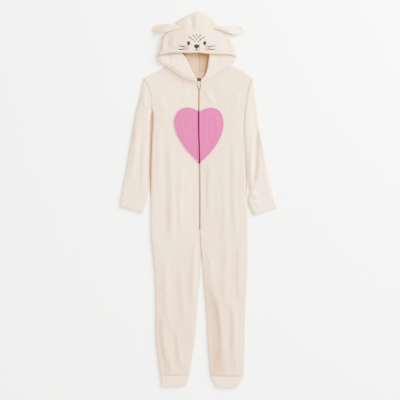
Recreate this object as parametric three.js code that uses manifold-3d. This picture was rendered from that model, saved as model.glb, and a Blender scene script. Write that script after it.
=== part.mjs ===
// Hooded fleece onesie, laid flat with its front up.
// Millimetres: X runs across, Y from the ankles to the hood, Z up from the surface it lies on.
// Left and right are the viewer's. Outline tables run the same way round on both halves.
import * as THREE from 'three';
import { mergeVertices } from 'three/addons/utils/BufferGeometryUtils.js';
import Module from 'manifold-3d';

const wasm = await Module();
wasm.setup();

// Cloth, seams and edges
const wall = 2.6;
const seamGap = 0.3;
const armholeGap = 0.36;
const neckGap = 0.45;
const cuffGap = 0.5;
const backRim = 3.3;
const turnRadius = 8;
const frontHeight = 9;
const turnRise = 4.2;
const lowestFront = 2 * wall + 0.6;
const foldReach = 14;
const zipReach = 16;

// Hood
const hoodRim = 6;
const hoodRadius = 16;
const hoodOverlap = 0.2;
const flapHeight = 15;
const flapSeamHeight = 10;
const flapSeamReach = 16;
const brimHeight = 24;
const crownRise = 4;
const crownReach = 50;
const sideShare = 0.42;
const sideRise = { from: 18, over: 40 };
const hoodFoldReach = 18;

// Zip and slider
const zipTop = 448.5;
const zipEnd = -108;
const zipHalfGap = 3;
const sliderHalfGap = 7.4;
const tapeReach = 11;
const coilHalf = 2.6;
const tapeBottom = 4.6;
const tapeTop = 5.4;
const coilTop = 7.2;
const coilRound = 0.9;
const slider = {
  from: 440, to: 453, halfWidth: 6, plate: 1.2, bottom: 3.1, top: 8.8,
  nose: 1.6, shoulder: 5, corner: 2, wedge: 3.2, flange: 0.9, tapeSlot: 0.5,
};
const bridge = { from: 442, to: 451, halfWidth: 0.9, top: 12.6, bar: 1.2, round: 1.6, sunk: 0.4 };
const pull = {
  pinY: 447.2, pinZ: 10.2, length: 17.5, halfWidth: 3.1, thickness: 1.2, eye: 5,
  neck: 2.6, eyeWall: 0.6, waist: 1, flare: 3.5, hole: 1.2, lean: 4.5,
};

// Applique, label, ears and hems
const heartLift = 0.5;
const heartThickness = 2.2;
const heartNotch = 337;
const heartFromZip = 0.6;
const label = { fromX: -8, toX: 8, fromY: 456, toY: 468, thickness: 0.8 };
const earThickness = 8;
const earLift = 0.8;
const earFall = 46;
const hemDepth = 23;
const hemRise = 1.2;
const gatherRise = 1.2;
const hemStep = 4;
const cuffFlatness = 0.8;

// Numbers of steps
const frontGrid = { columns: 18, neck: 11, chest: 8, hip: 2, leg: 9 };
const backGrid = { columns: 11, neck: 7, chest: 4, hip: 1, leg: 5 };
const sleeveGrid = { columns: 12, rows: 10 };
const hoodGrid = { crown: 12, rows: 10, flap: 6 };
const cuffGrid = { gathers: 7, stepsEach: 4, rows: 2 };
const heartGrid = { columns: 8, rows: 11 };
const zipRows = 16;
const earSteps = 8;
const chainStep = 6;

// Rough widths that set how close together the columns at a turned edge stand
const yokeWidth = 180;
const armholeLength = 100;
const hoodWidth = 120;

const at = (x, y) => ({ x, y });

// Centre front from the crotch up to the neck, and the straight centre seam of the back and the hood.
const centreFront = [
  at(8.5, -206), at(4.5, -140), at(3, -108), at(3, -2), at(2, 133), at(1, 191), at(-1, 268), at(-1, 345),
  at(0, 433), at(0, 470),
];
const crotch = at(8.5, -206);
const neckBack = at(0, 489);
const hoodPeak = at(3, 724);

const halves = {
  left: {
    side: -1,
    frontNeck: [
      at(-7.4, 449), at(-22, 455), at(-53, 465), at(-72, 475), at(-92, 489), at(-111, 503), at(-130, 512),
    ],
    backNeck: [at(0, 489), at(-40, 490), at(-80, 495), at(-111, 504), at(-130, 512)],
    shoulder: [at(-130, 512), at(-149, 500), at(-169, 489), at(-188, 479), at(-212, 466)],
    armhole: [at(-212, 466), at(-199, 441), at(-190, 418), at(-184, 395), at(-182, 374), at(-184, 356)],
    bodySide: [
      at(-184, 356), at(-176, 330), at(-176, 300), at(-178, 268), at(-181, 191), at(-183, 114), at(-185, 0),
      at(-186, -98), at(-184, -150), at(-177, -221), at(-171, -290), at(-167, -387), at(-166, -541),
      at(-161, -587), at(-155, -637), at(-150, -676),
    ],
    inseam: [
      at(-36, -676), at(-30, -637), at(-24, -599), at(-17, -552), at(-11, -502), at(-7, -445), at(-3, -387),
      at(1, -341), at(5, -279), at(6.5, -241), at(8.2, -206),
    ],
    sleeveOuter: [
      at(-212, 466), at(-221, 422), at(-230, 383), at(-242, 337), at(-251, 287), at(-261, 229), at(-271, 171),
      at(-280, 114), at(-290, 67), at(-297, 27), at(-302, -2), at(-303, -26),
    ],
    sleeveInner: [
      at(-184, 356), at(-186.5, 325), at(-188, 268), at(-190, 191), at(-192, 114), at(-192, 60), at(-193, 33),
      at(-196, 13), at(-202, -10), at(-209, -36), at(-214, -51),
    ],
    sleeveEnd: [at(-214, -51), at(-228, -47), at(-247, -41), at(-273, -33), at(-303, -26)],
    cuffEnd: [at(-47, -715), at(-61, -718), at(-100, -719), at(-138, -719), at(-145, -714)],
    hoodOutline: [
      at(-130, 512.5), at(-149, 522), at(-158, 534), at(-161.5, 547), at(-159, 560), at(-152, 571),
      at(-148, 585), at(-146, 603), at(-141, 622), at(-134, 634), at(-116, 653), at(-98, 671),
      at(-73, 692), at(-53, 704), at(-34, 713), at(-15, 721), at(3, 724),
    ],
    browCorner: 4,
    earRoot: 11,
    brim: [
      at(1, 563), at(-35, 562), at(-72, 562), at(-108, 561), at(-128, 557), at(-145, 553), at(-160.8, 551),
    ],
    vEdge: [
      at(-9, 458), at(-12, 468), at(-22, 487), at(-34, 510), at(-45, 533), at(-59, 556), at(-72, 578),
    ],
    heartSide: [
      at(-3.2, 139), at(-7, 147), at(-23, 163), at(-49, 191), at(-72, 225), at(-90, 262), at(-96, 300),
    ],
    heartLobe: [at(-12, 346), at(-27, 352), at(-44, 354), at(-66, 350), at(-84, 335), at(-96, 300)],
    ear: [
      { x: -62, y: 657, half: 2, rise: 0.45 }, { x: -74, y: 659, half: 6, rise: 0.7 },
      { x: -90, y: 660, half: 10, rise: 0.9 }, { x: -110, y: 659, half: 13.5, rise: 1 },
      { x: -130, y: 656.5, half: 17, rise: 1 }, { x: -150, y: 656, half: 18.5, rise: 1 },
      { x: -163, y: 656.5, half: 17, rise: 0.95 }, { x: -172, y: 657, half: 13, rise: 0.85 },
      { x: -178, y: 657.5, half: 7.5, rise: 0.65 }, { x: -180.5, y: 658, half: 2, rise: 0.4 },
    ],
  },
  right: {
    side: 1,
    frontNeck: [
      at(7.4, 449), at(21, 454), at(39, 462), at(62, 476), at(87, 495), at(108, 507), at(126, 515),
    ],
    backNeck: [at(0, 489), at(40, 490), at(78, 496), at(108, 506), at(126, 515)],
    shoulder: [at(126, 515), at(143, 508), at(159, 500), at(186, 482), at(209, 466)],
    armhole: [at(209, 466), at(197, 445), at(190, 420), at(186, 395), at(182, 366), at(176, 330)],
    bodySide: [
      at(176, 330), at(172.5, 300), at(171.5, 268), at(172.5, 230), at(175, 191), at(179, 133), at(181.5, 75),
      at(184, 0), at(187, -60), at(188.5, -98), at(189, -156), at(188, -252), at(185, -329), at(181, -387),
      at(178.5, -464), at(178, -541), at(176, -599), at(174, -650), at(172, -680),
    ],
    inseam: [
      at(45, -680), at(41, -649), at(37, -599), at(33, -541), at(30, -464), at(26, -406), at(20, -341),
      at(16, -279), at(13, -241), at(8.8, -206),
    ],
    sleeveOuter: [
      at(209, 466), at(214, 422), at(220, 375), at(228, 314), at(239, 248), at(251, 183), at(263, 121),
      at(274, 67), at(286, 17), at(297, -17), at(303, -31),
    ],
    sleeveInner: [
      at(176, 330), at(175.4, 300), at(174.8, 268), at(176.4, 230), at(179, 191), at(183, 133), at(187.5, 85),
      at(194, 45), at(195, 29), at(191.5, 14), at(189, -2), at(192, -22), at(200, -42), at(212, -61),
    ],
    sleeveEnd: [at(212, -61), at(236, -52), at(266, -42), at(303, -31)],
    cuffEnd: [at(64, -719), at(80, -722), at(110, -723.4), at(138, -723.4), at(154, -718)],
    hoodOutline: [
      at(126, 515.5), at(137, 528), at(144, 541), at(147, 556), at(144, 572), at(140, 586),
      at(132, 606), at(124, 628), at(112, 643), at(97, 655), at(82, 668), at(66, 685), at(51, 699),
      at(35, 711), at(20, 719), at(3, 724),
    ],
    browCorner: 3,
    earRoot: 10,
    brim: [
      at(1, 563), at(24, 560), at(62, 556.5), at(101, 556), at(124, 554), at(136, 549), at(145.9, 547.5),
    ],
    vEdge: [at(9, 458), at(15, 466), at(23, 475), at(32, 499), at(37, 528), at(41, 556), at(44, 578)],
    heartSide: [
      at(7, 139), at(13, 148), at(29, 162), at(51, 186), at(74, 220), at(90, 256), at(96, 293),
    ],
    heartLobe: [at(12, 344), at(30, 351), at(50, 353), at(70, 348), at(87, 331), at(96, 293)],
    ear: [
      { x: 59, y: 657, half: 2, rise: 0.45 }, { x: 74, y: 656.5, half: 6, rise: 0.7 },
      { x: 92, y: 655, half: 10, rise: 0.9 }, { x: 112, y: 651, half: 13.5, rise: 1 },
      { x: 130, y: 649.5, half: 15.5, rise: 1 }, { x: 148, y: 650, half: 17.5, rise: 1 },
      { x: 160, y: 650, half: 16.5, rise: 0.95 }, { x: 169, y: 650, half: 12.5, rise: 0.85 },
      { x: 175, y: 650, half: 7, rise: 0.65 }, { x: 177.5, y: 650, half: 2, rise: 0.4 },
    ],
  },
};

// Soft folds of the cloth: a ridge where rise is above 0, a trough where it is below.
const frontFolds = [
  { fromX: -108, fromY: 250, toX: -106, toY: -190, half: 14, rise: 4.2, bow: -5 },
  { fromX: -132, fromY: 240, toX: -130, toY: -160, half: 12, rise: -2, bow: -4 },
  { fromX: -62, fromY: 150, toX: -68, toY: -150, half: 13, rise: 3.4, bow: 4 },
  { fromX: -150, fromY: 300, toX: -156, toY: 60, half: 10, rise: 2.6, bow: 3 },
  { fromX: -28, fromY: 120, toX: -22, toY: -120, half: 11, rise: -1.8, bow: 0 },
  { fromX: 44, fromY: 150, toX: 40, toY: -60, half: 12, rise: 3.8, bow: 4 },
  { fromX: 24, fromY: 140, toX: 28, toY: -30, half: 9, rise: -2, bow: 0 },
  { fromX: 92, fromY: 130, toX: 96, toY: -200, half: 14, rise: 3, bow: -5 },
  { fromX: 138, fromY: 250, toX: 146, toY: -170, half: 12, rise: 4.2, bow: 6 },
  { fromX: 120, fromY: 230, toX: 124, toY: -100, half: 10, rise: -2, bow: 5 },
  { fromX: 22, fromY: 432, toX: 62, toY: 366, half: 8, rise: 2.6, bow: 4 },
  { fromX: 52, fromY: 440, toX: 70, toY: 360, half: 9, rise: -1.6, bow: 3 },
  { fromX: -150, fromY: 420, toX: -120, toY: 330, half: 14, rise: 2.4, bow: 8 },
  { fromX: 140, fromY: 430, toX: 134, toY: 320, half: 14, rise: 2.6, bow: -8 },
  { fromX: -18, fromY: -150, toX: -28, toY: -420, half: 11, rise: 3.6, bow: -4 },
  { fromX: -66, fromY: -230, toX: -58, toY: -470, half: 13, rise: 2.6, bow: 5 },
  { fromX: -126, fromY: -200, toX: -112, toY: -500, half: 13, rise: 3, bow: 6 },
  { fromX: -142, fromY: -430, toX: -118, toY: -640, half: 11, rise: 3.4, bow: 6 },
  { fromX: -80, fromY: -480, toX: -66, toY: -650, half: 10, rise: 3.2, bow: 4 },
  { fromX: -98, fromY: -520, toX: -92, toY: -664, half: 8, rise: -1.8, bow: 0 },
  { fromX: 34, fromY: -190, toX: 58, toY: -420, half: 13, rise: 3, bow: -6 },
  { fromX: 64, fromY: -330, toX: 88, toY: -640, half: 13, rise: 4.4, bow: -8 },
  { fromX: 112, fromY: -150, toX: 104, toY: -420, half: 12, rise: 3.2, bow: 5 },
  { fromX: 160, fromY: -150, toX: 156, toY: -400, half: 11, rise: 3.2, bow: 4 },
  { fromX: 134, fromY: -380, toX: 132, toY: -620, half: 11, rise: 3, bow: -5 },
  { fromX: 116, fromY: -400, toX: 112, toY: -600, half: 9, rise: -1.8, bow: -4 },
];

const sleeveFolds = [
  { fromX: -236, fromY: 300, toX: -262, toY: 60, half: 13, rise: 2.8, bow: -5 },
  { fromX: -206, fromY: 250, toX: -214, toY: 20, half: 10, rise: 2.2, bow: 4 },
  { fromX: -212, fromY: 420, toX: -200, toY: 350, half: 10, rise: 2, bow: 3 },
  { fromX: 238, fromY: 300, toX: 222, toY: 40, half: 9, rise: -2.8, bow: 9 },
  { fromX: 216, fromY: 280, toX: 204, toY: 60, half: 10, rise: 3, bow: 7 },
  { fromX: 246, fromY: 150, toX: 268, toY: -10, half: 12, rise: 2.4, bow: -4 },
  { fromX: 206, fromY: 34, toX: 232, toY: -2, half: 7, rise: 2.6, bow: 3 },
  { fromX: 204, fromY: -6, toX: 232, toY: -26, half: 6, rise: 2.4, bow: -2 },
];

const hoodFolds = [
  { fromX: -27, fromY: 712, toX: -29, toY: 640, half: 10, rise: -4.5, bow: 0 },
  { fromX: -8, fromY: 722, toX: -6, toY: 640, half: 9, rise: 2, bow: 0 },
  { fromX: -112, fromY: 640, toX: -118, toY: 575, half: 13, rise: -3, bow: 4 },
  { fromX: 92, fromY: 640, toX: 112, toY: 575, half: 13, rise: -2, bow: -4 },
];

const flapFolds = [
  { fromX: -116, fromY: 566, toX: -112, toY: 520, half: 9, rise: -3, bow: 0 },
  { fromX: 66, fromY: 566, toX: 74, toY: 500, half: 9, rise: -2, bow: 3 },
];

const finishes = {
  fleece: { color: 0xeee3d6, roughness: 0.95, metalness: 0 },
  heart: { color: 0xe79bc0, roughness: 0.92, metalness: 0 },
  zip: { color: 0xdccdb6, roughness: 0.7, metalness: 0 },
  metal: { color: 0xd9d2cc, roughness: 0.32, metalness: 0.85 },
  label: { color: 0x2c2a33, roughness: 0.8, metalness: 0 },
};

const clamp01 = (t) => Math.min(1, Math.max(0, t));
const mix = (a, b, t) => a + (b - a) * t;
const ease = (t) => clamp01(t) ** 2 * (3 - 2 * clamp01(t));

// Smooth value of x at a height y, through a table that runs either way along y.
function xAt(rows, y) {
  const table = rows[0].y < rows[rows.length - 1].y ? rows : [...rows].reverse();
  const last = table.length - 1;
  const i = Math.min(last - 1, Math.max(0, table.findIndex((p) => p.y > y) - 1));
  const from = y >= table[last].y ? last - 1 : i;
  const slope = (k) => {
    const a = table[Math.max(0, k - 1)];
    const b = table[Math.min(last, k + 1)];
    return (b.x - a.x) / (b.y - a.y);
  };
  const step = table[from + 1].y - table[from].y;
  const t = clamp01((y - table[from].y) / step);
  const bend = t * (1 - t) * step;
  return mix(table[from].x, table[from + 1].x, t * t * (3 - 2 * t))
    + bend * ((1 - t) * slope(from) - t * slope(from + 1));
}

// Smooth curve through a table, taken by its share of the length.
function along(rows) {
  const points = rows.map((p) => new THREE.Vector3(p.x, p.y, 0));
  const curve = new THREE.CatmullRomCurve3(points, false, 'centripetal');
  return (t) => curve.getPointAt(clamp01(t));
}

const distanceTo = (a, b) => Math.hypot(b.x - a.x, b.y - a.y);

const chainAlong = (rows) => {
  const curve = along(rows);
  const length = rows.slice(1).reduce((sum, p, i) => sum + distanceTo(rows[i], p), 0);
  const steps = Math.ceil(length / chainStep);
  return Array.from({ length: steps + 1 }, (_, i) => curve(i / steps));
};

const chainByHeight = (rows) => {
  const steps = Math.ceil(Math.abs(rows[rows.length - 1].y - rows[0].y) / chainStep);
  return Array.from({ length: steps + 1 }, (_, i) => {
    const y = mix(rows[0].y, rows[rows.length - 1].y, i / steps);
    return at(xAt(rows, y), y);
  });
};

// Distance from a point to the nearest of several chains, and the way into the panel there.
function nearest(chains, side, x, y) {
  let best = { distance: Infinity };
  for (const chain of chains) {
    for (let i = 0; i + 1 < chain.length; i += 1) {
      const ex = chain[i + 1].x - chain[i].x;
      const ey = chain[i + 1].y - chain[i].y;
      const length = Math.hypot(ex, ey);
      const t = clamp01(((x - chain[i].x) * ex + (y - chain[i].y) * ey) / length ** 2);
      const distance = Math.hypot(x - chain[i].x - t * ex, y - chain[i].y - t * ey);
      if (distance < best.distance) {
        best = { distance, inX: (side * ey) / length, inY: (-side * ex) / length };
      }
    }
  }
  return best;
}

// How far a turned edge has come up, from 0 at the rim to 1 where the cloth lies level.
function turned(distance, radius) {
  const lean = Math.max(0, 1 - distance / radius);
  return Math.sqrt(1 - lean * lean);
}

function foldsAt(folds, x, y) {
  return folds.reduce((sum, fold) => {
    const dx = fold.toX - fold.fromX;
    const dy = fold.toY - fold.fromY;
    const length = Math.hypot(dx, dy);
    const share = ((x - fold.fromX) * dx + (y - fold.fromY) * dy) / length ** 2;
    const across = ((x - fold.fromX) * dy - (y - fold.fromY) * dx) / length;
    const offset = across - fold.bow * 4 * share * (1 - share);
    const fade = ease(4 * share) * ease(4 * (1 - share));
    return sum + fold.rise * fade * Math.exp(-((offset / fold.half) ** 2));
  }, 0);
}

// Shares of a width from 0 to 1, closer together at an end that turns down.
function spread(count, innerTurn, outerTurn, width) {
  const radius = turnRadius / width;
  const steps = [0, 0.29 * radius, radius];
  return Array.from({ length: count + 1 }, (_, k) => {
    const even = k / count;
    const fromInner = k <= 2 ? steps[k] : mix(radius, 1, (k - 2) / (count - 2));
    const back = count - k;
    const fromOuter = back <= 2 ? 1 - steps[back] : mix(1 - radius, 0, (back - 2) / (count - 2));
    return even + innerTurn * (fromInner - even) + outerTurn * (fromOuter - even);
  });
}

// Patch between four boundary curves: inner and outer run with v, bottom and top with u.
function patch({ inner, outer, bottom, top }, us, vs) {
  return vs.map((v) => us(v).map((u) => {
    const corner = (key) => (1 - u) * (1 - v) * bottom(0)[key] + u * (1 - v) * bottom(1)[key]
      + (1 - u) * v * top(0)[key] + u * v * top(1)[key];
    const value = (key) => (1 - v) * bottom(u)[key] + v * top(u)[key]
      + (1 - u) * inner(v)[key] + u * outer(v)[key] - corner(key);
    return at(value('x'), value('y'));
  }));
}

const shares = (count) => Array.from({ length: count + 1 }, (_, i) => i / count);

// Geometry of a closed body, with its faces turned outwards.
function closedBody(vertices, faces) {
  let volume = 0;
  for (const [a, b, c] of faces) {
    const [p, q, r] = [vertices[a], vertices[b], vertices[c]];
    volume += p[0] * (q[1] * r[2] - q[2] * r[1]) + p[1] * (q[2] * r[0] - q[0] * r[2])
      + p[2] * (q[0] * r[1] - q[1] * r[0]);
  }
  const turnedFaces = volume < 0 ? faces.map(([a, b, c]) => [a, c, b]) : faces;
  const geometry = new THREE.BufferGeometry();
  geometry.setAttribute('position', new THREE.Float32BufferAttribute(vertices.flat(), 3));
  geometry.setIndex(turnedFaces.flat());
  geometry.computeVertexNormals();
  return geometry;
}

// Wall between an outer and an inner grid of points, closed all round its border.
function sheet(outer, inner) {
  const rows = outer.length;
  const columns = outer[0].length;
  const size = rows * columns;
  const id = (row, column) => row * columns + column;
  const faces = [];
  const quad = (a, b, c, d) => faces.push([a, b, c], [a, c, d]);
  for (let i = 0; i + 1 < rows; i += 1) {
    for (let k = 0; k + 1 < columns; k += 1) {
      const [a, b, c, d] = [id(i, k), id(i, k + 1), id(i + 1, k + 1), id(i + 1, k)];
      quad(a, b, c, d);
      quad(size + d, size + c, size + b, size + a);
    }
  }
  for (let k = 0; k + 1 < columns; k += 1) {
    quad(id(0, k + 1), id(0, k), size + id(0, k), size + id(0, k + 1));
    quad(id(rows - 1, k), id(rows - 1, k + 1), size + id(rows - 1, k + 1), size + id(rows - 1, k));
  }
  const last = columns - 1;
  for (let i = 0; i + 1 < rows; i += 1) {
    quad(id(i, 0), id(i + 1, 0), size + id(i + 1, 0), size + id(i, 0));
    quad(id(i + 1, last), id(i, last), size + id(i, last), size + id(i + 1, last));
  }
  return closedBody([...outer.flat(), ...inner.flat()], faces);
}

// Open tube between outer and inner rings of points.
function tube(outer, inner) {
  const count = outer[0].length;
  const size = outer.length * count;
  const faces = [];
  const quad = (a, b, c, d) => faces.push([a, b, c], [a, c, d]);
  const id = (row, k) => row * count + (k % count);
  for (let i = 0; i + 1 < outer.length; i += 1) {
    for (let k = 0; k < count; k += 1) {
      const [a, b, c, d] = [id(i, k), id(i, k + 1), id(i + 1, k + 1), id(i + 1, k)];
      quad(a, b, c, d);
      quad(size + d, size + c, size + b, size + a);
    }
  }
  const end = outer.length - 1;
  for (let k = 0; k < count; k += 1) {
    quad(id(0, k + 1), id(0, k), size + id(0, k), size + id(0, k + 1));
    quad(id(end, k), id(end, k + 1), size + id(end, k + 1), size + id(end, k));
  }
  return closedBody([...outer.flat(), ...inner.flat()], faces);
}

// Solid through rings of points, closed with a flat face at each end.
function loft(rings, flatRing) {
  const count = rings[0].length;
  const faces = [];
  for (let i = 0; i + 1 < rings.length; i += 1) {
    for (let k = 0; k < count; k += 1) {
      const next = (k + 1) % count;
      const [a, b] = [i * count + k, i * count + next];
      faces.push([a, b, b + count], [a, b + count, a + count]);
    }
  }
  const last = (rings.length - 1) * count;
  const outline = flatRing.map(([x, y]) => new THREE.Vector2(x, y));
  const caps = THREE.ShapeUtils.triangulateShape(outline, []);
  const first = caps[0];
  const around = first.findIndex((k, i) => first[(i + 1) % 3] === (k + 1) % count);
  const sameWay = around >= 0;
  for (const [a, b, c] of caps) {
    faces.push(sameWay ? [a, c, b] : [a, b, c]);
    faces.push(sameWay ? [last + a, last + b, last + c] : [last + a, last + c, last + b]);
  }
  return closedBody(rings.flat(), faces);
}

// Outer and inner points of cloth over a plan. At a turned edge the wall leans over with the cloth.
// The inside lies above the outer points (way 1, a lower layer) or below them (way -1, an upper one).
function cloth(plan, edge, height, way) {
  const rows = plan.map((row) => row.map((p) => {
    const near = edge.near(p, row);
    const lean = Math.max(0, 1 - near.distance / edge.radius);
    const drop = Math.sqrt(1 - lean * lean);
    const z = height(p.x, p.y, near.distance);
    const shift = wall * lean;
    return [[p.x, p.y, z], [p.x + near.inX * shift, p.y + near.inY * shift, z + way * wall * drop]];
  }));
  const side = (which) => rows.map((row) => row.map((pair) => pair[which]));
  return { outer: side(0), inner: side(1) };
}

const underside = (rim, radius) => (x, y, distance) => rim * (1 - turned(distance, radius));

// Upper layer before its folds: from the rim up to the loft of cloth that lies flat.
function levelAt(distance) {
  const loftRise = (frontHeight - backRim - seamGap - turnRise) * (1 - Math.exp(-distance / turnRadius));
  return backRim + seamGap + turnRise * turned(distance, turnRadius) + loftRise;
}

function folded(distance, rise) {
  const level = levelAt(distance);
  return Math.max(level + rise, Math.min(level, lowestFront));
}

// Half the opening at the centre front: apart at the slider, along the zip, then a closed seam.
function halfOpening(y) {
  const atSlider = ease((y - (slider.from - 26)) / 20);
  const atEnd = ease((y - (zipEnd - 9)) / 8);
  return mix(seamGap / 2, zipHalfGap, atEnd) + (sliderHalfGap - zipHalfGap) * atSlider;
}

const centreX = (y) => xAt(centreFront, y);
const seamX = (y) => (y < neckBack.y
  ? mix(neckBack.x, crotch.x, (neckBack.y - y) / (neckBack.y - crotch.y))
  : mix(neckBack.x, hoodPeak.x, (y - neckBack.y) / (hoodPeak.y - neckBack.y)));

function bodyEdge(half) {
  const chains = [chainAlong(half.shoulder), chainByHeight(half.bodySide), chainByHeight(half.inseam)];
  return { radius: turnRadius, near: (p) => nearest(chains, half.side, p.x, p.y) };
}

// Folds fade in a little way inside a turned edge.
const insideEdge = (distance) => ease(distance / foldReach - 0.2);

function frontTop(x, y, distance) {
  const besideZip = ease(Math.abs(x - centreX(y)) / zipReach - 0.4);
  return folded(distance, besideZip * insideEdge(distance) * foldsAt(frontFolds, x, y));
}

// The body's rows and the sleeve's columns take the armhole at the same shares, so that they meet.
const armholeShares = spread(sleeveGrid.columns, 1, 1, armholeLength);

// Plan of one body half and its leg, from the neck and shoulder down to the ankle.
function bodyPlan(half, neck, innerX, grid) {
  const underarm = half.bodySide[0];
  const ankle = half.inseam[0].y;
  const topY = neck[0].y;
  const neckCurve = along(neck);
  const shoulderCurve = along(half.shoulder);
  const armholeCurve = along(half.armhole);
  const neckShare = grid.neck / grid.columns;
  const innerAt = (y) => (y > crotch.y ? innerX(y) : xAt(half.inseam, y));
  const pastNeck = (u) => shoulderCurve((u - neckShare) / (1 - neckShare));
  const yoke = patch({
    top: (u) => (u <= neckShare ? neckCurve(u / neckShare) : pastNeck(u)),
    bottom: (u) => at(mix(innerAt(underarm.y), underarm.x, u), underarm.y),
    inner: (v) => at(innerAt(mix(underarm.y, topY, v)), mix(underarm.y, topY, v)),
    outer: (v) => armholeCurve(1 - v),
  }, (v) => spread(grid.columns, 0, ease(1 - 3 * v), yokeWidth), [...armholeShares].reverse());
  const zipStop = zipEnd - 9;
  const heights = [
    ...shares(grid.chest).slice(1).map((t) => mix(underarm.y, zipEnd - 1, t)),
    ...shares(grid.hip).map((t) => mix(zipStop, crotch.y, t)),
    crotch.y - 5,
    ...shares(grid.leg).map((t) => mix(crotch.y - 20, ankle, t)),
  ];
  const rows = heights.map((y) => {
    const inner = innerAt(y);
    const outer = xAt(half.bodySide, y);
    const legShare = ease((crotch.y + 60 - y) / 60);
    const across = spread(grid.columns, legShare, 1, Math.abs(outer - inner));
    return across.map((u) => at(mix(inner, outer, u), y));
  });
  return [...yoke, ...rows];
}

function frontPanel(half) {
  const innerX = (y) => centreX(y) + half.side * halfOpening(y);
  const layer = cloth(bodyPlan(half, half.frontNeck, innerX, frontGrid), bodyEdge(half), frontTop, -1);
  return sheet(layer.outer, layer.inner);
}

function backPanel(half) {
  const innerX = (y) => seamX(y) + half.side * (seamGap / 2);
  const plan = bodyPlan(half, half.backNeck, innerX, backGrid);
  const layer = cloth(plan, bodyEdge(half), underside(backRim, turnRadius), 1);
  return sheet(layer.outer, layer.inner);
}

// Flattened tube over a plan, turned along its first and last columns.
function flatTube(plan, height) {
  const sides = [plan.map((row) => row[0]), plan.map((row) => row[row.length - 1])];
  const near = (p, row) => {
    const [toFirst, toLast] = sides.map((chain) => nearest([chain], 1, p.x, p.y).distance);
    const [start, end] = [row[0], row[row.length - 1]];
    const way = (toFirst < toLast ? 1 : -1) / distanceTo(start, end);
    const distance = Math.min(toFirst, toLast);
    return { distance, inX: way * (end.x - start.x), inY: way * (end.y - start.y) };
  };
  const edge = { radius: turnRadius, near };
  const rim = backRim + seamGap / 2;
  const upper = cloth(plan, edge, height, -1);
  const lower = cloth(plan, edge, underside(rim, turnRadius), 1);
  const ring = (top, bottom) => top.map((row, i) => {
    const over = row.map(([x, y, z], k) => (k === 0 || k === row.length - 1 ? [x, y, rim] : [x, y, z]));
    return [...over, ...bottom[i].slice(1, -1).reverse()];
  });
  return tube(ring(upper.outer, lower.outer), ring(upper.inner, lower.inner));
}

function sleeve(half) {
  const rows = shares(sleeveGrid.rows);
  const atArmhole = patch({
    inner: along(half.sleeveInner),
    outer: along(half.sleeveOuter),
    bottom: along([...half.armhole].reverse()),
    top: along(half.sleeveEnd),
  }, () => armholeShares, rows);
  const plan = atArmhole.map((row, i) => row.map((p) => (
    at(p.x + half.side * armholeGap * (1 - rows[i]), p.y)
  )));
  const height = (x, y, distance) => {
    const fromEnd = nearest([half.sleeveEnd], 1, x, y).distance;
    const hem = hemRise * ease((hemDepth - fromEnd) / hemStep + 0.5) * turned(distance, turnRadius);
    return folded(distance, insideEdge(distance) * foldsAt(sleeveFolds, x, y) + hem);
  };
  return flatTube(plan, height);
}

// Gathered band at the ankle.
function cuff(half) {
  const ankle = half.inseam[0];
  const side = half.bodySide[half.bodySide.length - 1];
  const endStart = half.cuffEnd[0];
  const endStop = half.cuffEnd[half.cuffEnd.length - 1];
  const topY = ankle.y - cuffGap;
  const width = Math.abs(side.x - ankle.x);
  const plan = patch({
    inner: (v) => at(mix(ankle.x, endStart.x, v), mix(topY, endStart.y, v)),
    outer: (v) => at(mix(side.x, endStop.x, v), mix(topY, endStop.y, v)),
    bottom: (u) => at(mix(ankle.x, side.x, u), topY),
    top: along(half.cuffEnd),
  }, () => spread((cuffGrid.gathers + 1) * cuffGrid.stepsEach, 1, 1, width), shares(cuffGrid.rows));
  const height = (x, y, distance) => {
    const wave = 1 + Math.sin(((x - ankle.x) * cuffGrid.gathers * 2 * Math.PI) / width);
    const gathered = folded(distance, gatherRise * ease(distance / turnRadius) * wave);
    return gathered - cuffFlatness * turned(distance, turnRadius);
  };
  return flatTube(plan, height);
}

function hoodEdge(half) {
  const chains = [chainAlong(half.hoodOutline)];
  const near = (p) => {
    const found = nearest(chains, -half.side, p.x, p.y);
    return { ...found, inX: found.inX * ease(Math.abs(p.x - seamX(p.y)) / hoodRadius) };
  };
  return { radius: hoodRadius, near };
}

function toManifold(geometry) {
  const plain = geometry.clone();
  plain.deleteAttribute('normal');
  plain.deleteAttribute('uv');
  const merged = mergeVertices(plain);
  return new wasm.Manifold(new wasm.Mesh({
    numProp: 3,
    vertProperties: new Float32Array(merged.attributes.position.array),
    triVerts: new Uint32Array(merged.index.array),
  }));
}

function joined(geometries) {
  const solid = geometries.map(toManifold).reduce((sum, next) => sum.add(next));
  const mesh = solid.getMesh();
  const geometry = new THREE.BufferGeometry();
  geometry.setAttribute('position', new THREE.BufferAttribute(new Float32Array(mesh.vertProperties), 3));
  geometry.setIndex(new THREE.BufferAttribute(new Uint32Array(mesh.triVerts), 1));
  geometry.computeVertexNormals();
  return geometry;
}

// Height of the crown, which lies folded over the face flap and runs into it at the side.
function crownTop(half) {
  const neckPoint = half.hoodOutline[0];
  return (x, y, distance) => {
    const share = mix(sideShare, 1, ease((y - neckPoint.y - sideRise.from) / sideRise.over));
    return hoodRim - hoodOverlap + (brimHeight - hoodRim) * share * turned(distance, hoodRadius)
      + crownRise * ease((distance - hoodRadius) / crownReach)
      + ease(distance / hoodFoldReach) * foldsAt(hoodFolds, x, y);
  };
}

function flapTop(half) {
  const seam = chainAlong(half.frontNeck);
  return (x, y, distance) => {
    const fromSeam = nearest([seam], 1, x, y).distance;
    const level = mix(flapSeamHeight, flapHeight, ease(fromSeam / flapSeamReach));
    return hoodRim - hoodOverlap + (level - hoodRim) * turned(distance, hoodRadius)
      + ease(distance / hoodFoldReach) * foldsAt(flapFolds, x, y);
  };
}

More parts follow.
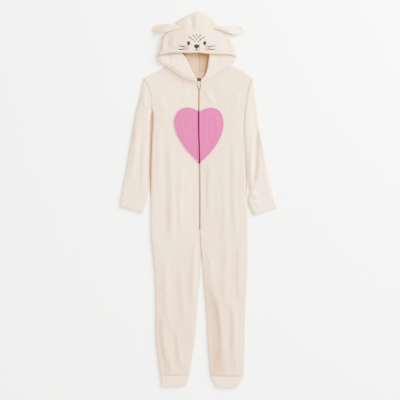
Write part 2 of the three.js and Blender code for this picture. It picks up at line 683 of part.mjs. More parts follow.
// One half of the hood: back layer, crown and face flap, one piece of cloth folded round the side.
function hood(half) {
  const edge = hoodEdge(half);
  const outline = half.hoodOutline;
  const beside = (p, share) => at(p.x + half.side * (seamGap / 2) * share, p.y);
  const centre = (from) => (v) => {
    const y = mix(from, hoodPeak.y, v);
    return beside(at(seamX(y), y), 1);
  };
  const evenAtSeam = (count) => (v) => spread(count, 0, ease(5 * v), hoodWidth);
  const rows = spread(hoodGrid.rows, 0, 1, hoodWidth);
  const overTop = along([...outline.slice(half.earRoot)].reverse());
  const top = (u) => beside(overTop(u), 1 - u);
  const raised = (p) => at(p.x, p.y + neckGap);

  const backNeck = along(half.backNeck);
  const backPlan = patch({
    inner: centre(half.backNeck[0].y + neckGap),
    outer: along(outline.slice(0, half.earRoot + 1)),
    bottom: (u) => raised(beside(backNeck(u), 1 - u)),
    top,
  }, evenAtSeam(backGrid.neck), rows);
  const back = cloth(backPlan, edge, underside(hoodRim + hoodOverlap, hoodRadius), 1);

  const brim = along(half.brim);
  const crownPlan = patch({
    inner: centre(half.brim[0].y),
    outer: along([half.brim[half.brim.length - 1], ...outline.slice(half.browCorner, half.earRoot + 1)]),
    bottom: (u) => beside(brim(u), 1 - u),
    top,
  }, () => spread(hoodGrid.crown, 0, 1, hoodWidth), rows);
  const crown = cloth(crownPlan, edge, crownTop(half), -1);

  const frontNeck = along(half.frontNeck);
  const vEnd = half.vEdge[half.vEdge.length - 1];
  const corner = outline[half.browCorner];
  const flapPlan = patch({
    inner: along([raised(half.frontNeck[0]), ...half.vEdge]),
    outer: along(outline.slice(0, half.browCorner + 1)),
    bottom: (u) => raised(frontNeck(u)),
    top: (u) => at(mix(vEnd.x, corner.x, u), mix(vEnd.y, corner.y, u)),
  }, evenAtSeam(frontGrid.neck), shares(hoodGrid.flap));
  const flap = cloth(flapPlan, edge, flapTop(half), -1);
  return joined([back, crown, flap].map((layer) => sheet(layer.outer, layer.inner)));
}

// Whether a point is on the hood's side of its outline.
function hoodInside(half) {
  const outline = chainAlong(half.hoodOutline);
  return (x, y) => outline.slice(1).some((next, i) => {
    const p = outline[i];
    const level = (p.y - y) * (next.y - y) <= 0 && p.y !== next.y;
    return level && half.side * x < half.side * mix(p.x, next.x, (y - p.y) / (next.y - p.y));
  });
}

// What an ear lies on: the crown, then down over its edge to the surface.
function earRest(half) {
  const edge = hoodEdge(half);
  const top = crownTop(half);
  const inside = hoodInside(half);
  return (x, y) => {
    const { distance } = edge.near(at(x, y));
    const overEdge = top(x, y, hoodRadius);
    return inside(x, y)
      ? Math.max(overEdge, top(x, y, distance)) + earLift
      : (overEdge + earLift) * (1 - ease(distance / earFall));
  };
}

function ear(half) {
  const rest = earRest(half);
  const rings = half.ear.map((station, i) => {
    const before = half.ear[Math.max(0, i - 1)];
    const after = half.ear[Math.min(half.ear.length - 1, i + 1)];
    const run = distanceTo(before, after);
    const thick = earThickness * station.rise;
    const point = (angle, way) => {
      const reach = station.half * Math.cos(angle);
      const x = station.x - ((after.y - before.y) / run) * reach;
      const y = station.y + ((after.x - before.x) / run) * reach;
      const swell = Math.abs(Math.sin(angle)) ** 0.7;
      return [x, y, rest(x, y) + thick * (way > 0 ? mix(0.4, 1, swell) : mix(0.4, 0, swell))];
    };
    const over = shares(earSteps).map((t) => point(Math.PI * t, 1));
    const under = shares(earSteps).slice(1, -1).map((t) => point(Math.PI * (1 - t), -1));
    return [...over, ...under];
  });
  return loft(rings, rings[0].map(([, y, z]) => [y, z]));
}

// Applique half: the front's own surface, moved out.
function heart(half) {
  const tip = half.heartSide[0];
  const zipSide = (y) => centreX(y) + half.side * (zipHalfGap + heartFromZip);
  const plan = patch({
    inner: (v) => at(zipSide(mix(tip.y, heartNotch, v)), mix(tip.y, heartNotch, v)),
    outer: along(half.heartSide),
    bottom: (u) => at(mix(zipSide(tip.y), tip.x, u), tip.y),
    top: along([at(zipSide(heartNotch), heartNotch), ...half.heartLobe]),
  }, () => shares(heartGrid.columns), shares(heartGrid.rows));
  const edge = bodyEdge(half);
  const raise = (lift) => plan.map((row) => row.map((p) => (
    [p.x, p.y, frontTop(p.x, p.y, edge.near(p).distance) + lift]
  )));
  return sheet(raise(heartLift + heartThickness), raise(heartLift));
}

// One side of the zip: its tape with half of the closed coil.
function zipHalf(half) {
  const inner = seamGap / 2;
  const section = [
    [inner, tapeBottom], [tapeReach, tapeBottom], [tapeReach, tapeTop], [coilHalf, tapeTop],
    [coilHalf, coilTop - coilRound], [coilHalf - coilRound, coilTop], [inner, coilTop],
  ];
  const rings = shares(zipRows).map((t) => {
    const y = mix(zipEnd, zipTop, t);
    return section.map(([x, z]) => [centreX(y) + half.side * x, y, z]);
  });
  return loft(rings, section);
}

function extruded(points, depth) {
  const shape = new THREE.Shape(points.map(([x, y]) => new THREE.Vector2(x, y)));
  return new THREE.ExtrudeGeometry(shape, { depth, bevelEnabled: false });
}

// Slider: two plates joined by a wedge at the top, flanges at the sides and a bridge for the pull.
function sliderBody() {
  const { from, to, halfWidth, plate, bottom, top, nose, shoulder, corner } = slider;
  const cx = centreX(from);
  const [middleY, middleZ] = [(from + to) / 2, (bottom + top) / 2];
  const outline = [
    [cx - halfWidth + nose, from], [cx + halfWidth - nose, from], [cx + halfWidth, from + shoulder],
    [cx + halfWidth, to - corner], [cx + halfWidth - corner, to], [cx - halfWidth + corner, to],
    [cx - halfWidth, to - corner], [cx - halfWidth, from + shoulder],
  ];
  const lower = extruded(outline, plate).translate(0, 0, bottom);
  const upper = extruded(outline, plate).translate(0, 0, top - plate);
  const wedgeFrom = zipTop + 0.7;
  const wedgeTo = to - 0.5;
  const wedge = new THREE.BoxGeometry(slider.wedge, wedgeTo - wedgeFrom, top - bottom - plate)
    .translate(cx, (wedgeFrom + wedgeTo) / 2, middleZ);
  const flangeFrom = tapeTop + slider.tapeSlot;
  const flangeTo = top - plate / 2;
  const flanges = [-1, 1].map((way) => (
    new THREE.BoxGeometry(slider.flange, to - from - shoulder - corner, flangeTo - flangeFrom)
      .translate(cx + way * (halfWidth - 0.5), middleY + (shoulder - corner) / 2, (flangeFrom + flangeTo) / 2)
  ));
  return joined([lower, upper, wedge, ...flanges, sliderBridge(cx)]);
}

function sliderBridge(cx) {
  const { from, to, top, bar, round } = bridge;
  const foot = slider.top - bridge.sunk;
  const arch = new THREE.Shape();
  arch.moveTo(from, foot);
  arch.lineTo(from, top - round);
  arch.quadraticCurveTo(from, top, from + round, top);
  arch.lineTo(to - round, top);
  arch.quadraticCurveTo(to, top, to, top - round);
  arch.lineTo(to, foot);
  arch.lineTo(to - bar, foot);
  arch.lineTo(to - bar, top - bar);
  arch.lineTo(from + bar, top - bar);
  arch.lineTo(from + bar, foot);
  arch.closePath();
  const settings = { depth: 2 * bridge.halfWidth, bevelEnabled: false, curveSegments: 3 };
  return new THREE.ExtrudeGeometry(arch, settings)
    .rotateX(Math.PI / 2).rotateZ(Math.PI / 2).translate(cx - bridge.halfWidth, 0, 0);
}

// Pull tab: a thin plate with an eye round the bridge and a hole near its end, leaning on the slider.
function pullTab() {
  const { pinY, pinZ, length, halfWidth, thickness, eye, neck, eyeWall, waist, flare } = pull;
  const cx = centreX(pinY);
  const barHalf = thickness / 2;
  const holeY = pinY - length + halfWidth;
  const shape = new THREE.Shape();
  shape.moveTo(cx - neck + barHalf, pinY + barHalf);
  shape.lineTo(cx + neck - barHalf, pinY + barHalf);
  shape.lineTo(cx + neck, pinY);
  shape.lineTo(cx + neck, pinY - eye - waist);
  shape.lineTo(cx + halfWidth, pinY - eye - flare);
  shape.absarc(cx, holeY, halfWidth, 0, -Math.PI, true);
  shape.lineTo(cx - halfWidth, pinY - eye - flare);
  shape.lineTo(cx - neck, pinY - eye - waist);
  shape.lineTo(cx - neck, pinY);
  shape.closePath();
  const eyeHalf = bridge.halfWidth + 0.5;
  const opening = new THREE.Path([
    new THREE.Vector2(cx - eyeHalf, pinY - barHalf), new THREE.Vector2(cx - eyeHalf, pinY - eye - eyeWall),
    new THREE.Vector2(cx + eyeHalf, pinY - eye - eyeWall), new THREE.Vector2(cx + eyeHalf, pinY - barHalf),
  ]);
  const hole = new THREE.Path();
  hole.absarc(cx, holeY, pull.hole, 0, 2 * Math.PI, false);
  shape.holes.push(opening, hole);
  return new THREE.ExtrudeGeometry(shape, { depth: thickness, bevelEnabled: false, curveSegments: 8 })
    .translate(0, -pinY, -thickness / 2)
    .rotateX(THREE.MathUtils.degToRad(pull.lean))
    .translate(0, pinY, pinZ);
}

function neckLabel() {
  const { fromX, toX, fromY, toY, thickness } = label;
  return new THREE.BoxGeometry(toX - fromX, toY - fromY, thickness)
    .translate((fromX + toX) / 2, (fromY + toY) / 2, wall + seamGap + thickness / 2);
}

const onesie = new THREE.Group();

function add(name, geometry, finish) {
  const mesh = new THREE.Mesh(geometry, new THREE.MeshStandardMaterial(finishes[finish]));
  mesh.name = name;
  onesie.add(mesh);
}

for (const [name, half] of Object.entries(halves)) {
  add(`back_${name}`, backPanel(half), 'fleece');
  add(`front_${name}`, frontPanel(half), 'fleece');
  add(`sleeve_${name}`, sleeve(half), 'fleece');
  add(`cuff_${name}`, cuff(half), 'fleece');
  add(`hood_${name}`, hood(half), 'fleece');
  add(`ear_${name}`, ear(half), 'fleece');
  add(`heart_${name}`, heart(half), 'heart');
  add(`zip_${name}`, zipHalf(half), 'zip');
}
add('zip_slider', sliderBody(), 'metal');
add('zip_pull', pullTab(), 'metal');
add('neck_label', neckLabel(), 'label');

export default onesie;
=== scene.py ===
import math
import bpy
import bmesh
import numpy as np
from mathutils import Matrix, Vector


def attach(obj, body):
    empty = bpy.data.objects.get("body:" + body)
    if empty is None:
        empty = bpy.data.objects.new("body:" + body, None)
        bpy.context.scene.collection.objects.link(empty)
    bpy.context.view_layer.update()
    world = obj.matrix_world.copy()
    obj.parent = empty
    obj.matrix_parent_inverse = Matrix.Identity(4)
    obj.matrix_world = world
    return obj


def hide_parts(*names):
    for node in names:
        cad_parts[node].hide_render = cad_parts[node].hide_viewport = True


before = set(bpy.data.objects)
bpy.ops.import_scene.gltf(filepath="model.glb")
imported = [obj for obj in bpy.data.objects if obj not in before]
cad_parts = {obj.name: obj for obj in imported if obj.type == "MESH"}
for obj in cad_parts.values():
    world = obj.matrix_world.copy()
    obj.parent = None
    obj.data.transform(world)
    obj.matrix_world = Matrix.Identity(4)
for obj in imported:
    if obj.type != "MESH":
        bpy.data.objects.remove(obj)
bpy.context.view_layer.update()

# Hooded fleece onesie laid flat. Tables and sizes are in millimetres, as on the cutting table.
mm = 0.001

# where every seam and edge of the laid garment runs, from the viewer's side
centreFront = [(8.5, -206), (4.5, -140), (3, -108), (3, -2), (2, 133), (1, 191), (-1, 268), (-1, 345),
               (0, 433), (0, 470)]
crotchPoint, neckPoint, hoodPeak = (8.5, -206), (0, 489), (3, 724)

leftHalf = dict(
    name="Left", node="left", side=-1,
    frontNeck=[(-7.4, 449), (-22, 455), (-53, 465), (-72, 475), (-92, 489), (-111, 503), (-130, 512)],
    backNeck=[(0, 489), (-40, 490), (-80, 495), (-111, 504), (-130, 512)],
    shoulder=[(-130, 512), (-149, 500), (-169, 489), (-188, 479), (-212, 466)],
    armhole=[(-212, 466), (-199, 441), (-190, 418), (-184, 395), (-182, 374), (-184, 356)],
    bodySide=[(-184, 356), (-176, 330), (-176, 300), (-178, 268), (-181, 191), (-183, 114), (-185, 0),
              (-186, -98), (-184, -150), (-177, -221), (-171, -290), (-167, -387), (-166, -541),
              (-161, -587), (-155, -637), (-150, -676)],
    inseam=[(-36, -676), (-30, -637), (-24, -599), (-17, -552), (-11, -502), (-7, -445), (-3, -387),
            (1, -341), (5, -279), (6.5, -241), (8.2, -206)],
    sleeveOuter=[(-212, 466), (-221, 422), (-230, 383), (-242, 337), (-251, 287), (-261, 229),
                 (-271, 171), (-280, 114), (-290, 67), (-297, 27), (-302, -2), (-303, -26)],
    sleeveInner=[(-184, 356), (-186.5, 325), (-188, 268), (-190, 191), (-192, 114), (-192, 60),
                 (-193, 33), (-196, 13), (-202, -10), (-209, -36), (-214, -51)],
    sleeveEnd=[(-214, -51), (-228, -47), (-247, -41), (-273, -33), (-303, -26)],
    cuffEnd=[(-47, -715), (-61, -718), (-100, -719), (-138, -719), (-145, -714)],
    hoodOutline=[(-130, 512.5), (-149, 522), (-158, 534), (-161.5, 547), (-159, 560), (-152, 571),
                 (-148, 585), (-146, 603), (-141, 622), (-134, 634), (-116, 653), (-98, 671),
                 (-73, 692), (-53, 704), (-34, 713), (-15, 721), (3, 724)],
    browCorner=4, earRoot=11,
    brim=[(1, 563), (-35, 562), (-72, 562), (-108, 561), (-128, 557), (-145, 553), (-160.8, 551)],
    vEdge=[(-9, 458), (-12, 468), (-22, 487), (-34, 510), (-45, 533), (-59, 556), (-72, 578)],
    heartSide=[(-3.2, 139), (-7, 147), (-23, 163), (-49, 191), (-72, 225), (-90, 262), (-96, 300)],
    heartLobe=[(-12, 346), (-27, 352), (-44, 354), (-66, 350), (-84, 335), (-96, 300)],
    # napAndShade: painted shade over each piece, heavier on this half, away from the light
    napAndShade=dict(front=0.17, leg=0.2, sleeve=0.14, flap=0.02, ear=0.2, cuff=0.2, back=0.15),
    sleeveTilt=0, inseamShade=1, armDip=0.3, rimShade=0.4, neckShade=(0.5, 1.0, 1.5, 1.5),
    armShade=(0.8, 0.35, 0.15, 0.05), edgeShade=(0.1, 0.2, 0.45, 0.1, 0.1, 0.7, 0.8, 0.2),
    sleeveShade=((-51, 0, 60, 200, 345, 400), (0.1, 0.2, 0.75, 0.7, 0.8, 0.3)),
    lip=((-20, 30, 90, 180, 290, 328, 347), (0, 3.5, 7, 9.6, 11.4, 9.6, 0)),
    ear=[(-62, 657, 2, 0.45), (-74, 659, 6, 0.7), (-90, 660, 10, 0.9), (-110, 659, 13.5, 1),
         (-130, 656.5, 17, 1), (-150, 656, 18.5, 1), (-163, 656.5, 17, 0.95), (-172, 657, 13, 0.85),
         (-178, 657.5, 7.5, 0.65), (-180.5, 658, 2, 0.4)],
)

rightHalf = dict(
    name="Right", node="right", side=1,
    frontNeck=[(7.4, 449), (21, 454), (39, 462), (62, 476), (87, 495), (108, 507), (126, 515)],
    backNeck=[(0, 489), (40, 490), (78, 496), (108, 506), (126, 515)],
    shoulder=[(126, 515), (143, 508), (159, 500), (186, 482), (209, 466)],
    armhole=[(209, 466), (197, 445), (190, 420), (186, 395), (182, 366), (176, 330)],
    bodySide=[(176, 330), (172.5, 300), (171.5, 268), (172.5, 230), (175, 191), (179, 133), (181.5, 75),
              (184, 0), (187, -60), (188.5, -98), (189, -156), (188, -252), (185, -329), (181, -387),
              (178.5, -464), (178, -541), (176, -599), (174, -650), (172, -680)],
    inseam=[(45, -680), (41, -649), (37, -599), (33, -541), (30, -464), (26, -406), (20, -341),
            (16, -279), (13, -241), (8.8, -206)],
    sleeveOuter=[(209, 466), (214, 422), (220, 375), (228, 314), (239, 248), (251, 183), (263, 121),
                 (274, 67), (286, 17), (297, -17), (303, -31)],
    sleeveInner=[(176, 330), (175.4, 300), (174.8, 268), (176.4, 230), (179, 191), (183, 133),
                 (187.5, 85), (194, 45), (195, 29), (191.5, 14), (189, -2), (192, -22), (200, -42),
                 (212, -61)],
    sleeveEnd=[(212, -61), (236, -52), (266, -42), (303, -31)],
    cuffEnd=[(64, -719), (80, -722), (110, -723.4), (138, -723.4), (154, -718)],
    hoodOutline=[(126, 515.5), (137, 528), (144, 541), (147, 556), (144, 572), (140, 586), (132, 606),
                 (124, 628), (112, 643), (97, 655), (82, 668), (66, 685), (51, 699), (35, 711),
                 (20, 719), (3, 724)],
    browCorner=3, earRoot=12,
    brim=[(1, 563), (24, 560), (62, 556.5), (101, 556), (124, 554), (136, 549), (145.9, 547.5)],
    vEdge=[(9, 458), (15, 466), (23, 475), (32, 499), (37, 528), (41, 556), (44, 578)],
    heartSide=[(7, 139), (13, 148), (29, 162), (51, 186), (74, 220), (90, 256), (96, 293)],
    heartLobe=[(12, 344), (30, 351), (50, 353), (70, 348), (87, 331), (96, 293)],
    # napAndShade: painted shade over each piece; none on this sleeve, which faces the light
    napAndShade=dict(front=0.3, leg=0.1, sleeve=0, flap=0.05, ear=0.05, cuff=0.14, back=0.15),
    sleeveTilt=6.2, inseamShade=0.25, armDip=2.4, rimShade=0.05, neckShade=(0.1, 0.12, 0.12, 0.08),
    armShade=(1, 1.1, 1, 0.3), edgeShade=(0.1, 0.1, 0.1, 0.1, 0.1, 0.35, 0.6, 0.3),
    sleeveShade=((-61, -30, 0, 60, 200, 345, 400), (0.3, 0.8, 0.9, 0.35, 0.45, 0.7, 0.5)),
    lip=((-20, 40, 110, 200, 280), (0, 4, 2.5, 1, 0)),
    ear=[(59, 657, 2, 0.45), (74, 656.5, 6, 0.7), (92, 655, 10, 0.9), (112, 651, 13.5, 1),
         (130, 649.5, 15.5, 1), (148, 650, 17.5, 1), (160, 650, 16.5, 0.95), (169, 650, 12.5, 0.85),
         (175, 650, 7, 0.65), (177.5, 650, 2, 0.4)],
)
bothHalves = (leftHalf, rightHalf)

# heights of the laid cloth
laid = dict(wall=2.2, backRim=3.3, seamGap=0.3, turnRadius=8, frontHeight=9, turnRise=4.2,
            lowestFront=5.8, hoodRim=6, hoodOverlap=0.2, hoodRadius=16, flapHeight=15,
            flapSeamHeight=10, flapSeamReach=16, brimHeight=24, crownRise=4, sideShare=0.42)


def mix(a, b, t):
    return a + (b - a) * t


def ease(t):
    t = np.clip(t, 0, 1)
    return t * t * (3 - 2 * t)


def bump(distance, half):   # 1 on the line, fading out to either side
    return np.exp(-(distance / half) ** 2)


def smoothCurve(table):   # even curve through a table, read by its share of the length
    p = np.array([row[:2] for row in table], float)
    p = np.vstack([2 * p[0] - p[1], p, 2 * p[-1] - p[-2]])
    points = [p[1:2]]
    t = np.linspace(0, 1, 17)[1:, None]
    for i in range(1, len(p) - 2):
        p0, p1, p2, p3 = p[i - 1:i + 3]
        d0, d1, d2 = (math.dist(a, b) ** 0.5 for a, b in ((p0, p1), (p1, p2), (p2, p3)))
        m1 = ((p1 - p0) / d0 - (p2 - p0) / (d0 + d1) + (p2 - p1) / d1) * d1
        m2 = ((p2 - p1) / d1 - (p3 - p1) / (d1 + d2) + (p3 - p2) / d2) * d1
        points.append(p1 * (2 * t**3 - 3 * t**2 + 1) + m1 * (t**3 - 2 * t**2 + t)
                      + p2 * (3 * t**2 - 2 * t**3) + m2 * (t**3 - t**2))
    points = np.vstack(points)
    run = np.concatenate([[0], np.cumsum(np.hypot(*np.diff(points, axis=0).T))])

    def at(share):
        s = np.clip(share, 0, 1) * run[-1]
        return np.stack([np.interp(s, run, points[:, 0]), np.interp(s, run, points[:, 1])], -1)
    at.length = run[-1]
    return at


def chainOf(table, step=4):
    curve = smoothCurve(table)
    return curve(np.linspace(0, 1, max(2, round(curve.length / step))))


def xAt(table, y):   # x of a seam at a height y
    p = np.array(table, float)
    if p[0, 1] > p[-1, 1]:
        p = p[::-1]
    slope = np.empty(len(p))
    slope[1:-1] = (p[2:, 0] - p[:-2, 0]) / (p[2:, 1] - p[:-2, 1])
    slope[0] = (p[1, 0] - p[0, 0]) / (p[1, 1] - p[0, 1])
    slope[-1] = (p[-1, 0] - p[-2, 0]) / (p[-1, 1] - p[-2, 1])
    i = np.clip(np.searchsorted(p[:, 1], y, side="right") - 1, 0, len(p) - 2)
    step = p[i + 1, 1] - p[i, 1]
    t = np.clip((y - p[i, 1]) / step, 0, 1)
    bend = t * (1 - t) * step * ((1 - t) * slope[i] - t * slope[i + 1])
    return mix(p[i, 0], p[i + 1, 0], t * t * (3 - 2 * t)) + bend


def distanceTo(chains, xy):   # to the nearest of several seams or edges
    best = np.full(xy.shape[:-1], 1e9)
    for chain in chains:
        for a, b in zip(chain[:-1], chain[1:]):
            e = b - a
            t = np.clip(((xy - a) @ e) / (e @ e), 0, 1)
            gap = xy - a - t[..., None] * e
            best = np.minimum(best, np.hypot(gap[..., 0], gap[..., 1]))
    return best


def turned(distance, radius):   # how far a turned edge has come up
    lean = np.maximum(0, 1 - distance / radius)
    return np.sqrt(1 - lean * lean)


def patch(inner, outer, bottom, top, u, v):   # u and v are grids of shares
    u1, v1 = u[..., None], v[..., None]
    zero, one = np.zeros(1), np.ones(1)
    corner = ((1 - u1) * (1 - v1) * bottom(zero) + u1 * (1 - v1) * bottom(one)
              + (1 - u1) * v1 * top(zero) + u1 * v1 * top(one))
    return (1 - v1) * bottom(u) + v1 * top(u) + (1 - u1) * inner(v) + u1 * outer(v) - corner


def straight(a, b):
    return lambda t: np.stack([mix(a[0], b[0], t), mix(a[1], b[1], t)], -1)


def withHeights(plan, z):
    return np.concatenate([plan, z[..., None]], -1)


def relaxed(plan, corner, reach, rounds=80):   # evens out the grid round a blunt corner
    hold = 0.9 * bump(np.hypot(*(plan[1:-1, 1:-1] - corner).transpose(2, 0, 1)), reach)[..., None]
    for _ in range(rounds):
        middle = (plan[:-2, 1:-1] + plan[2:, 1:-1] + plan[1:-1, :-2] + plan[1:-1, 2:]) / 4
        plan[1:-1, 1:-1] += hold * (middle - plan[1:-1, 1:-1])
    return plan


def spread(count, width, innerTurn, outerTurn):   # shares, closer together at turned edges
    x = np.linspace(0, width, 400)
    weight = 1 + 4 * innerTurn * np.exp(-x / 6) + 4 * outerTurn * np.exp(-(width - x) / 6)
    run = np.concatenate([[0], np.cumsum((weight[1:] + weight[:-1]) / 2)])
    return np.interp(np.linspace(0, 1, count + 1), run / run[-1], x / width)


def softNoise(x, y, sizeX, sizeY, seed):   # smooth unevenness of the cloth, from -1 to 1
    lattice = np.random.default_rng(seed).uniform(-1, 1, (61, 67))
    gx, gy = x / sizeX, y / sizeY
    ix, iy = np.floor(gx).astype(int), np.floor(gy).astype(int)
    fx, fy = ease(gx - ix), ease(gy - iy)
    a, b = lattice[ix % 61, iy % 67], lattice[(ix + 1) % 61, iy % 67]
    c, d = lattice[ix % 61, (iy + 1) % 67], lattice[(ix + 1) % 61, (iy + 1) % 67]
    return mix(mix(a, b, fx), mix(c, d, fx), fy)


def foldsAt(folds, x, y):   # columns: from x, y, to x, y, half width, rise, bow
    total = np.zeros_like(x, dtype=float)
    for i, (x0, y0, x1, y1, half, rise, bow) in enumerate(folds):
        dx, dy = x1 - x0, y1 - y0
        length = math.hypot(dx, dy)
        share = ((x - x0) * dx + (y - y0) * dy) / length**2
        across = ((x - x0) * dy - (y - y0) * dx) / length
        offset = across - bow * 4 * share * (1 - share) - 0.12 * half * np.sin(7 * share + 2.1 * i)
        steep = np.where(offset * (1 if i % 2 else -1) > 0, 0.75, 1.2) * half
        total += rise * ease(4 * share) * ease(4 * (1 - share)) * np.exp(-(offset / steep) ** 2)
    return total


def gridPiece(points, ring=False, nest=0.0):   # sheet through rows of points, or a closed tube
    rows, columns = points.shape[:2]
    nest = np.broadcast_to(nest, (rows, columns))
    bm = bmesh.new()
    bmesh.ops.create_grid(bm, x_segments=columns - 1, y_segments=rows - 1, size=1)
    layer = bm.verts.layers.float.new("nest")   # painted shade on the pile, most beside seams, gaps and edges
    for v in bm.verts:
        column = round((v.co.x + 1) / 2 * (columns - 1))
        row = round((v.co.y + 1) / 2 * (rows - 1))
        v.co = points[row, column] * mm
        v[layer] = float(nest[row, column])
    if ring:
        bmesh.ops.remove_doubles(bm, verts=bm.verts, dist=1e-6)
    return bm


def addObject(name, data):
    made = bpy.data.objects.new(name, data)
    bpy.context.scene.collection.objects.link(made)
    return made


def finishPiece(name, bm, node, materials, wall=0, up=None, body="garment"):
    bm.normal_update()
    if up is None:   # tubes and closed forms look outwards
        middle = sum(v.co.z for v in bm.verts) / len(bm.verts)
        tilt = sum(f.normal.z * f.calc_area() * (f.calc_center_median().z - middle) for f in bm.faces)
    else:            # sheets look up or down
        tilt = up * sum(f.normal.z * f.calc_area() for f in bm.faces)
    if tilt < 0:
        bmesh.ops.reverse_faces(bm, faces=bm.faces)
    for f in bm.faces:
        f.smooth = True
    mesh = bpy.data.meshes.new(name)
    bm.to_mesh(mesh)
    bm.free()
    piece = addObject(name, mesh)
    for material in materials:
        mesh.materials.append(material)
    if wall:
        shell = piece.modifiers.new("wall", "SOLIDIFY")
        shell.thickness = wall * mm
        shell.offset = -1
        shell.material_offset = 1 if len(materials) > 1 else 0
    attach(piece, body)
    if node:
        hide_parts(node)
    return piece


# finishes
def nodesOf(material):
    material.use_nodes = True
    tree = material.node_tree
    return tree, tree.nodes["Principled BSDF"]


def addNode(tree, kind, values=None, **settings):   # values of its inputs, by name or place
    node = tree.nodes.new(kind)
    for key, value in settings.items():
        setattr(node, key, value)
    for key, value in (values or {}).items():
        node.inputs[key].default_value = value
    return node


def addSockets(group, way, sockets):
    for name, kind, *value in sockets:
        socket = group.interface.new_socket(name, in_out=way, socket_type="NodeSocket" + kind)
        if value:
            socket.default_value = value[0]


def pileGroup():   # short brushed pile: soft mottling, tufts and a nap
    group = bpy.data.node_groups.new("brushedPile", "ShaderNodeTree")
    addSockets(group, "INPUT", [
        ("Colour", "Color", (0.8, 0.7, 0.6, 1)), ("Deep Colour", "Color", (0.6, 0.5, 0.4, 1)),
        ("Tuft Scale", "Float", 700.0), ("Mottle Scale", "Float", 70.0), ("Mottle", "Float", 0.35)])
    addSockets(group, "OUTPUT", [("Colour", "Color"), ("Roughness", "Float"), ("Height", "Float")])
    link = group.links.new
    inputs, outputs = addNode(group, "NodeGroupInput"), addNode(group, "NodeGroupOutput")
    place = addNode(group, "ShaderNodeTexCoord")
    napAndShade = addNode(group, "ShaderNodeMapping", {"Scale": (1, 0.45, 1)})
    link(place.outputs["Object"], napAndShade.inputs["Vector"])
    tufts = addNode(group, "ShaderNodeTexNoise", {"Detail": 4, "Roughness": 0.65})
    link(napAndShade.outputs["Vector"], tufts.inputs["Vector"])
    link(inputs.outputs["Tuft Scale"], tufts.inputs["Scale"])
    mottle = addNode(group, "ShaderNodeTexNoise", {"Detail": 3})
    link(napAndShade.outputs["Vector"], mottle.inputs["Vector"])
    link(inputs.outputs["Mottle Scale"], mottle.inputs["Scale"])
    both = addNode(group, "ShaderNodeMath", {1: 0.55}, operation="MULTIPLY_ADD")
    link(tufts.outputs["Fac"], both.inputs[0])
    half = addNode(group, "ShaderNodeMath", {1: 0.45}, operation="MULTIPLY")
    link(mottle.outputs["Fac"], half.inputs[0])
    link(half.outputs[0], both.inputs[2])
    spreadOut = addNode(group, "ShaderNodeMapRange", {"From Min": 0.35, "From Max": 0.65})
    link(both.outputs[0], spreadOut.inputs["Value"])
    link(inputs.outputs["Mottle"], spreadOut.inputs["To Max"])
    colour = addNode(group, "ShaderNodeMix", data_type="RGBA")
    link(spreadOut.outputs["Result"], colour.inputs["Factor"])
    link(inputs.outputs["Colour"], colour.inputs[6])
    link(inputs.outputs["Deep Colour"], colour.inputs[7])
    rough = addNode(group, "ShaderNodeMapRange", {"To Min": 0.86, "To Max": 1.0})
    link(tufts.outputs["Fac"], rough.inputs["Value"])
    link(colour.outputs[2], outputs.inputs["Colour"])
    link(rough.outputs["Result"], outputs.inputs["Roughness"])
    link(tufts.outputs["Fac"], outputs.inputs["Height"])
    return group


brushedPile = pileGroup()


def paintedShadeGroup():   # mixes a painted shade colour into the pile's colour
    group = bpy.data.node_groups.new("paintedShadeMix", "ShaderNodeTree")
    addSockets(group, "INPUT", [("Colour", "Color"), ("Pressed Colour", "Color"), ("Pressed", "Float")])
    addSockets(group, "OUTPUT", [("Colour", "Color")])
    inputs = group.nodes.new("NodeGroupInput")
    outputs = group.nodes.new("NodeGroupOutput")
    blend = addNode(group, "ShaderNodeMix", data_type="RGBA")
    group.links.new(inputs.outputs["Pressed"], blend.inputs["Factor"])
    group.links.new(inputs.outputs["Colour"], blend.inputs[6])
    group.links.new(inputs.outputs["Pressed Colour"], blend.inputs[7])
    group.links.new(blend.outputs[2], outputs.inputs["Colour"])
    return group


paintedShadeMix = paintedShadeGroup()


def paintedShadeColour(tree, colour, shading):   # reads the mesh's own painted shade values
    beside = addNode(tree, "ShaderNodeAttribute", attribute_name="nest")
    blend = addNode(tree, "ShaderNodeGroup", node_tree=paintedShadeMix)
    blend.inputs["Pressed Colour"].default_value = (*shading, 1)
    tree.links.new(colour, blend.inputs["Colour"])
    tree.links.new(beside.outputs["Fac"], blend.inputs["Pressed"])
    return blend.outputs["Colour"]


def roundPrint(tree, colour, centre, radius, pink):
    place = addNode(tree, "ShaderNodeTexCoord")
    flat = addNode(tree, "ShaderNodeVectorMath", operation="MULTIPLY")
    flat.inputs[1].default_value = (1, 1, 0)
    reach = addNode(tree, "ShaderNodeVectorMath", operation="DISTANCE")
    reach.inputs[1].default_value = (centre[0] * mm, centre[1] * mm, 0)
    tree.links.new(place.outputs["Object"], flat.inputs[0])
    tree.links.new(flat.outputs[0], reach.inputs[0])
    wobble = addNode(tree, "ShaderNodeTexNoise")
    wobble.inputs["Scale"].default_value = 900
    tree.links.new(place.outputs["Object"], wobble.inputs["Vector"])
    uneven = addNode(tree, "ShaderNodeMath", operation="MULTIPLY_ADD")
    uneven.inputs[1].default_value = 0.002
    tree.links.new(wobble.outputs["Fac"], uneven.inputs[0])
    tree.links.new(reach.outputs["Value"], uneven.inputs[2])
    edge = addNode(tree, "ShaderNodeMapRange", interpolation_type="SMOOTHSTEP")
    edge.inputs["From Min"].default_value = (radius + 2.5) * mm
    edge.inputs["From Max"].default_value = (radius - 1.5) * mm
    edge.inputs["To Max"].default_value = 0.9
    tree.links.new(uneven.outputs[0], edge.inputs["Value"])
    blend = addNode(tree, "ShaderNodeMix", data_type="RGBA")
    blend.inputs[7].default_value = (*pink, 1)
    tree.links.new(edge.outputs["Result"], blend.inputs["Factor"])
    tree.links.new(colour, blend.inputs[6])
    return blend.outputs[2]


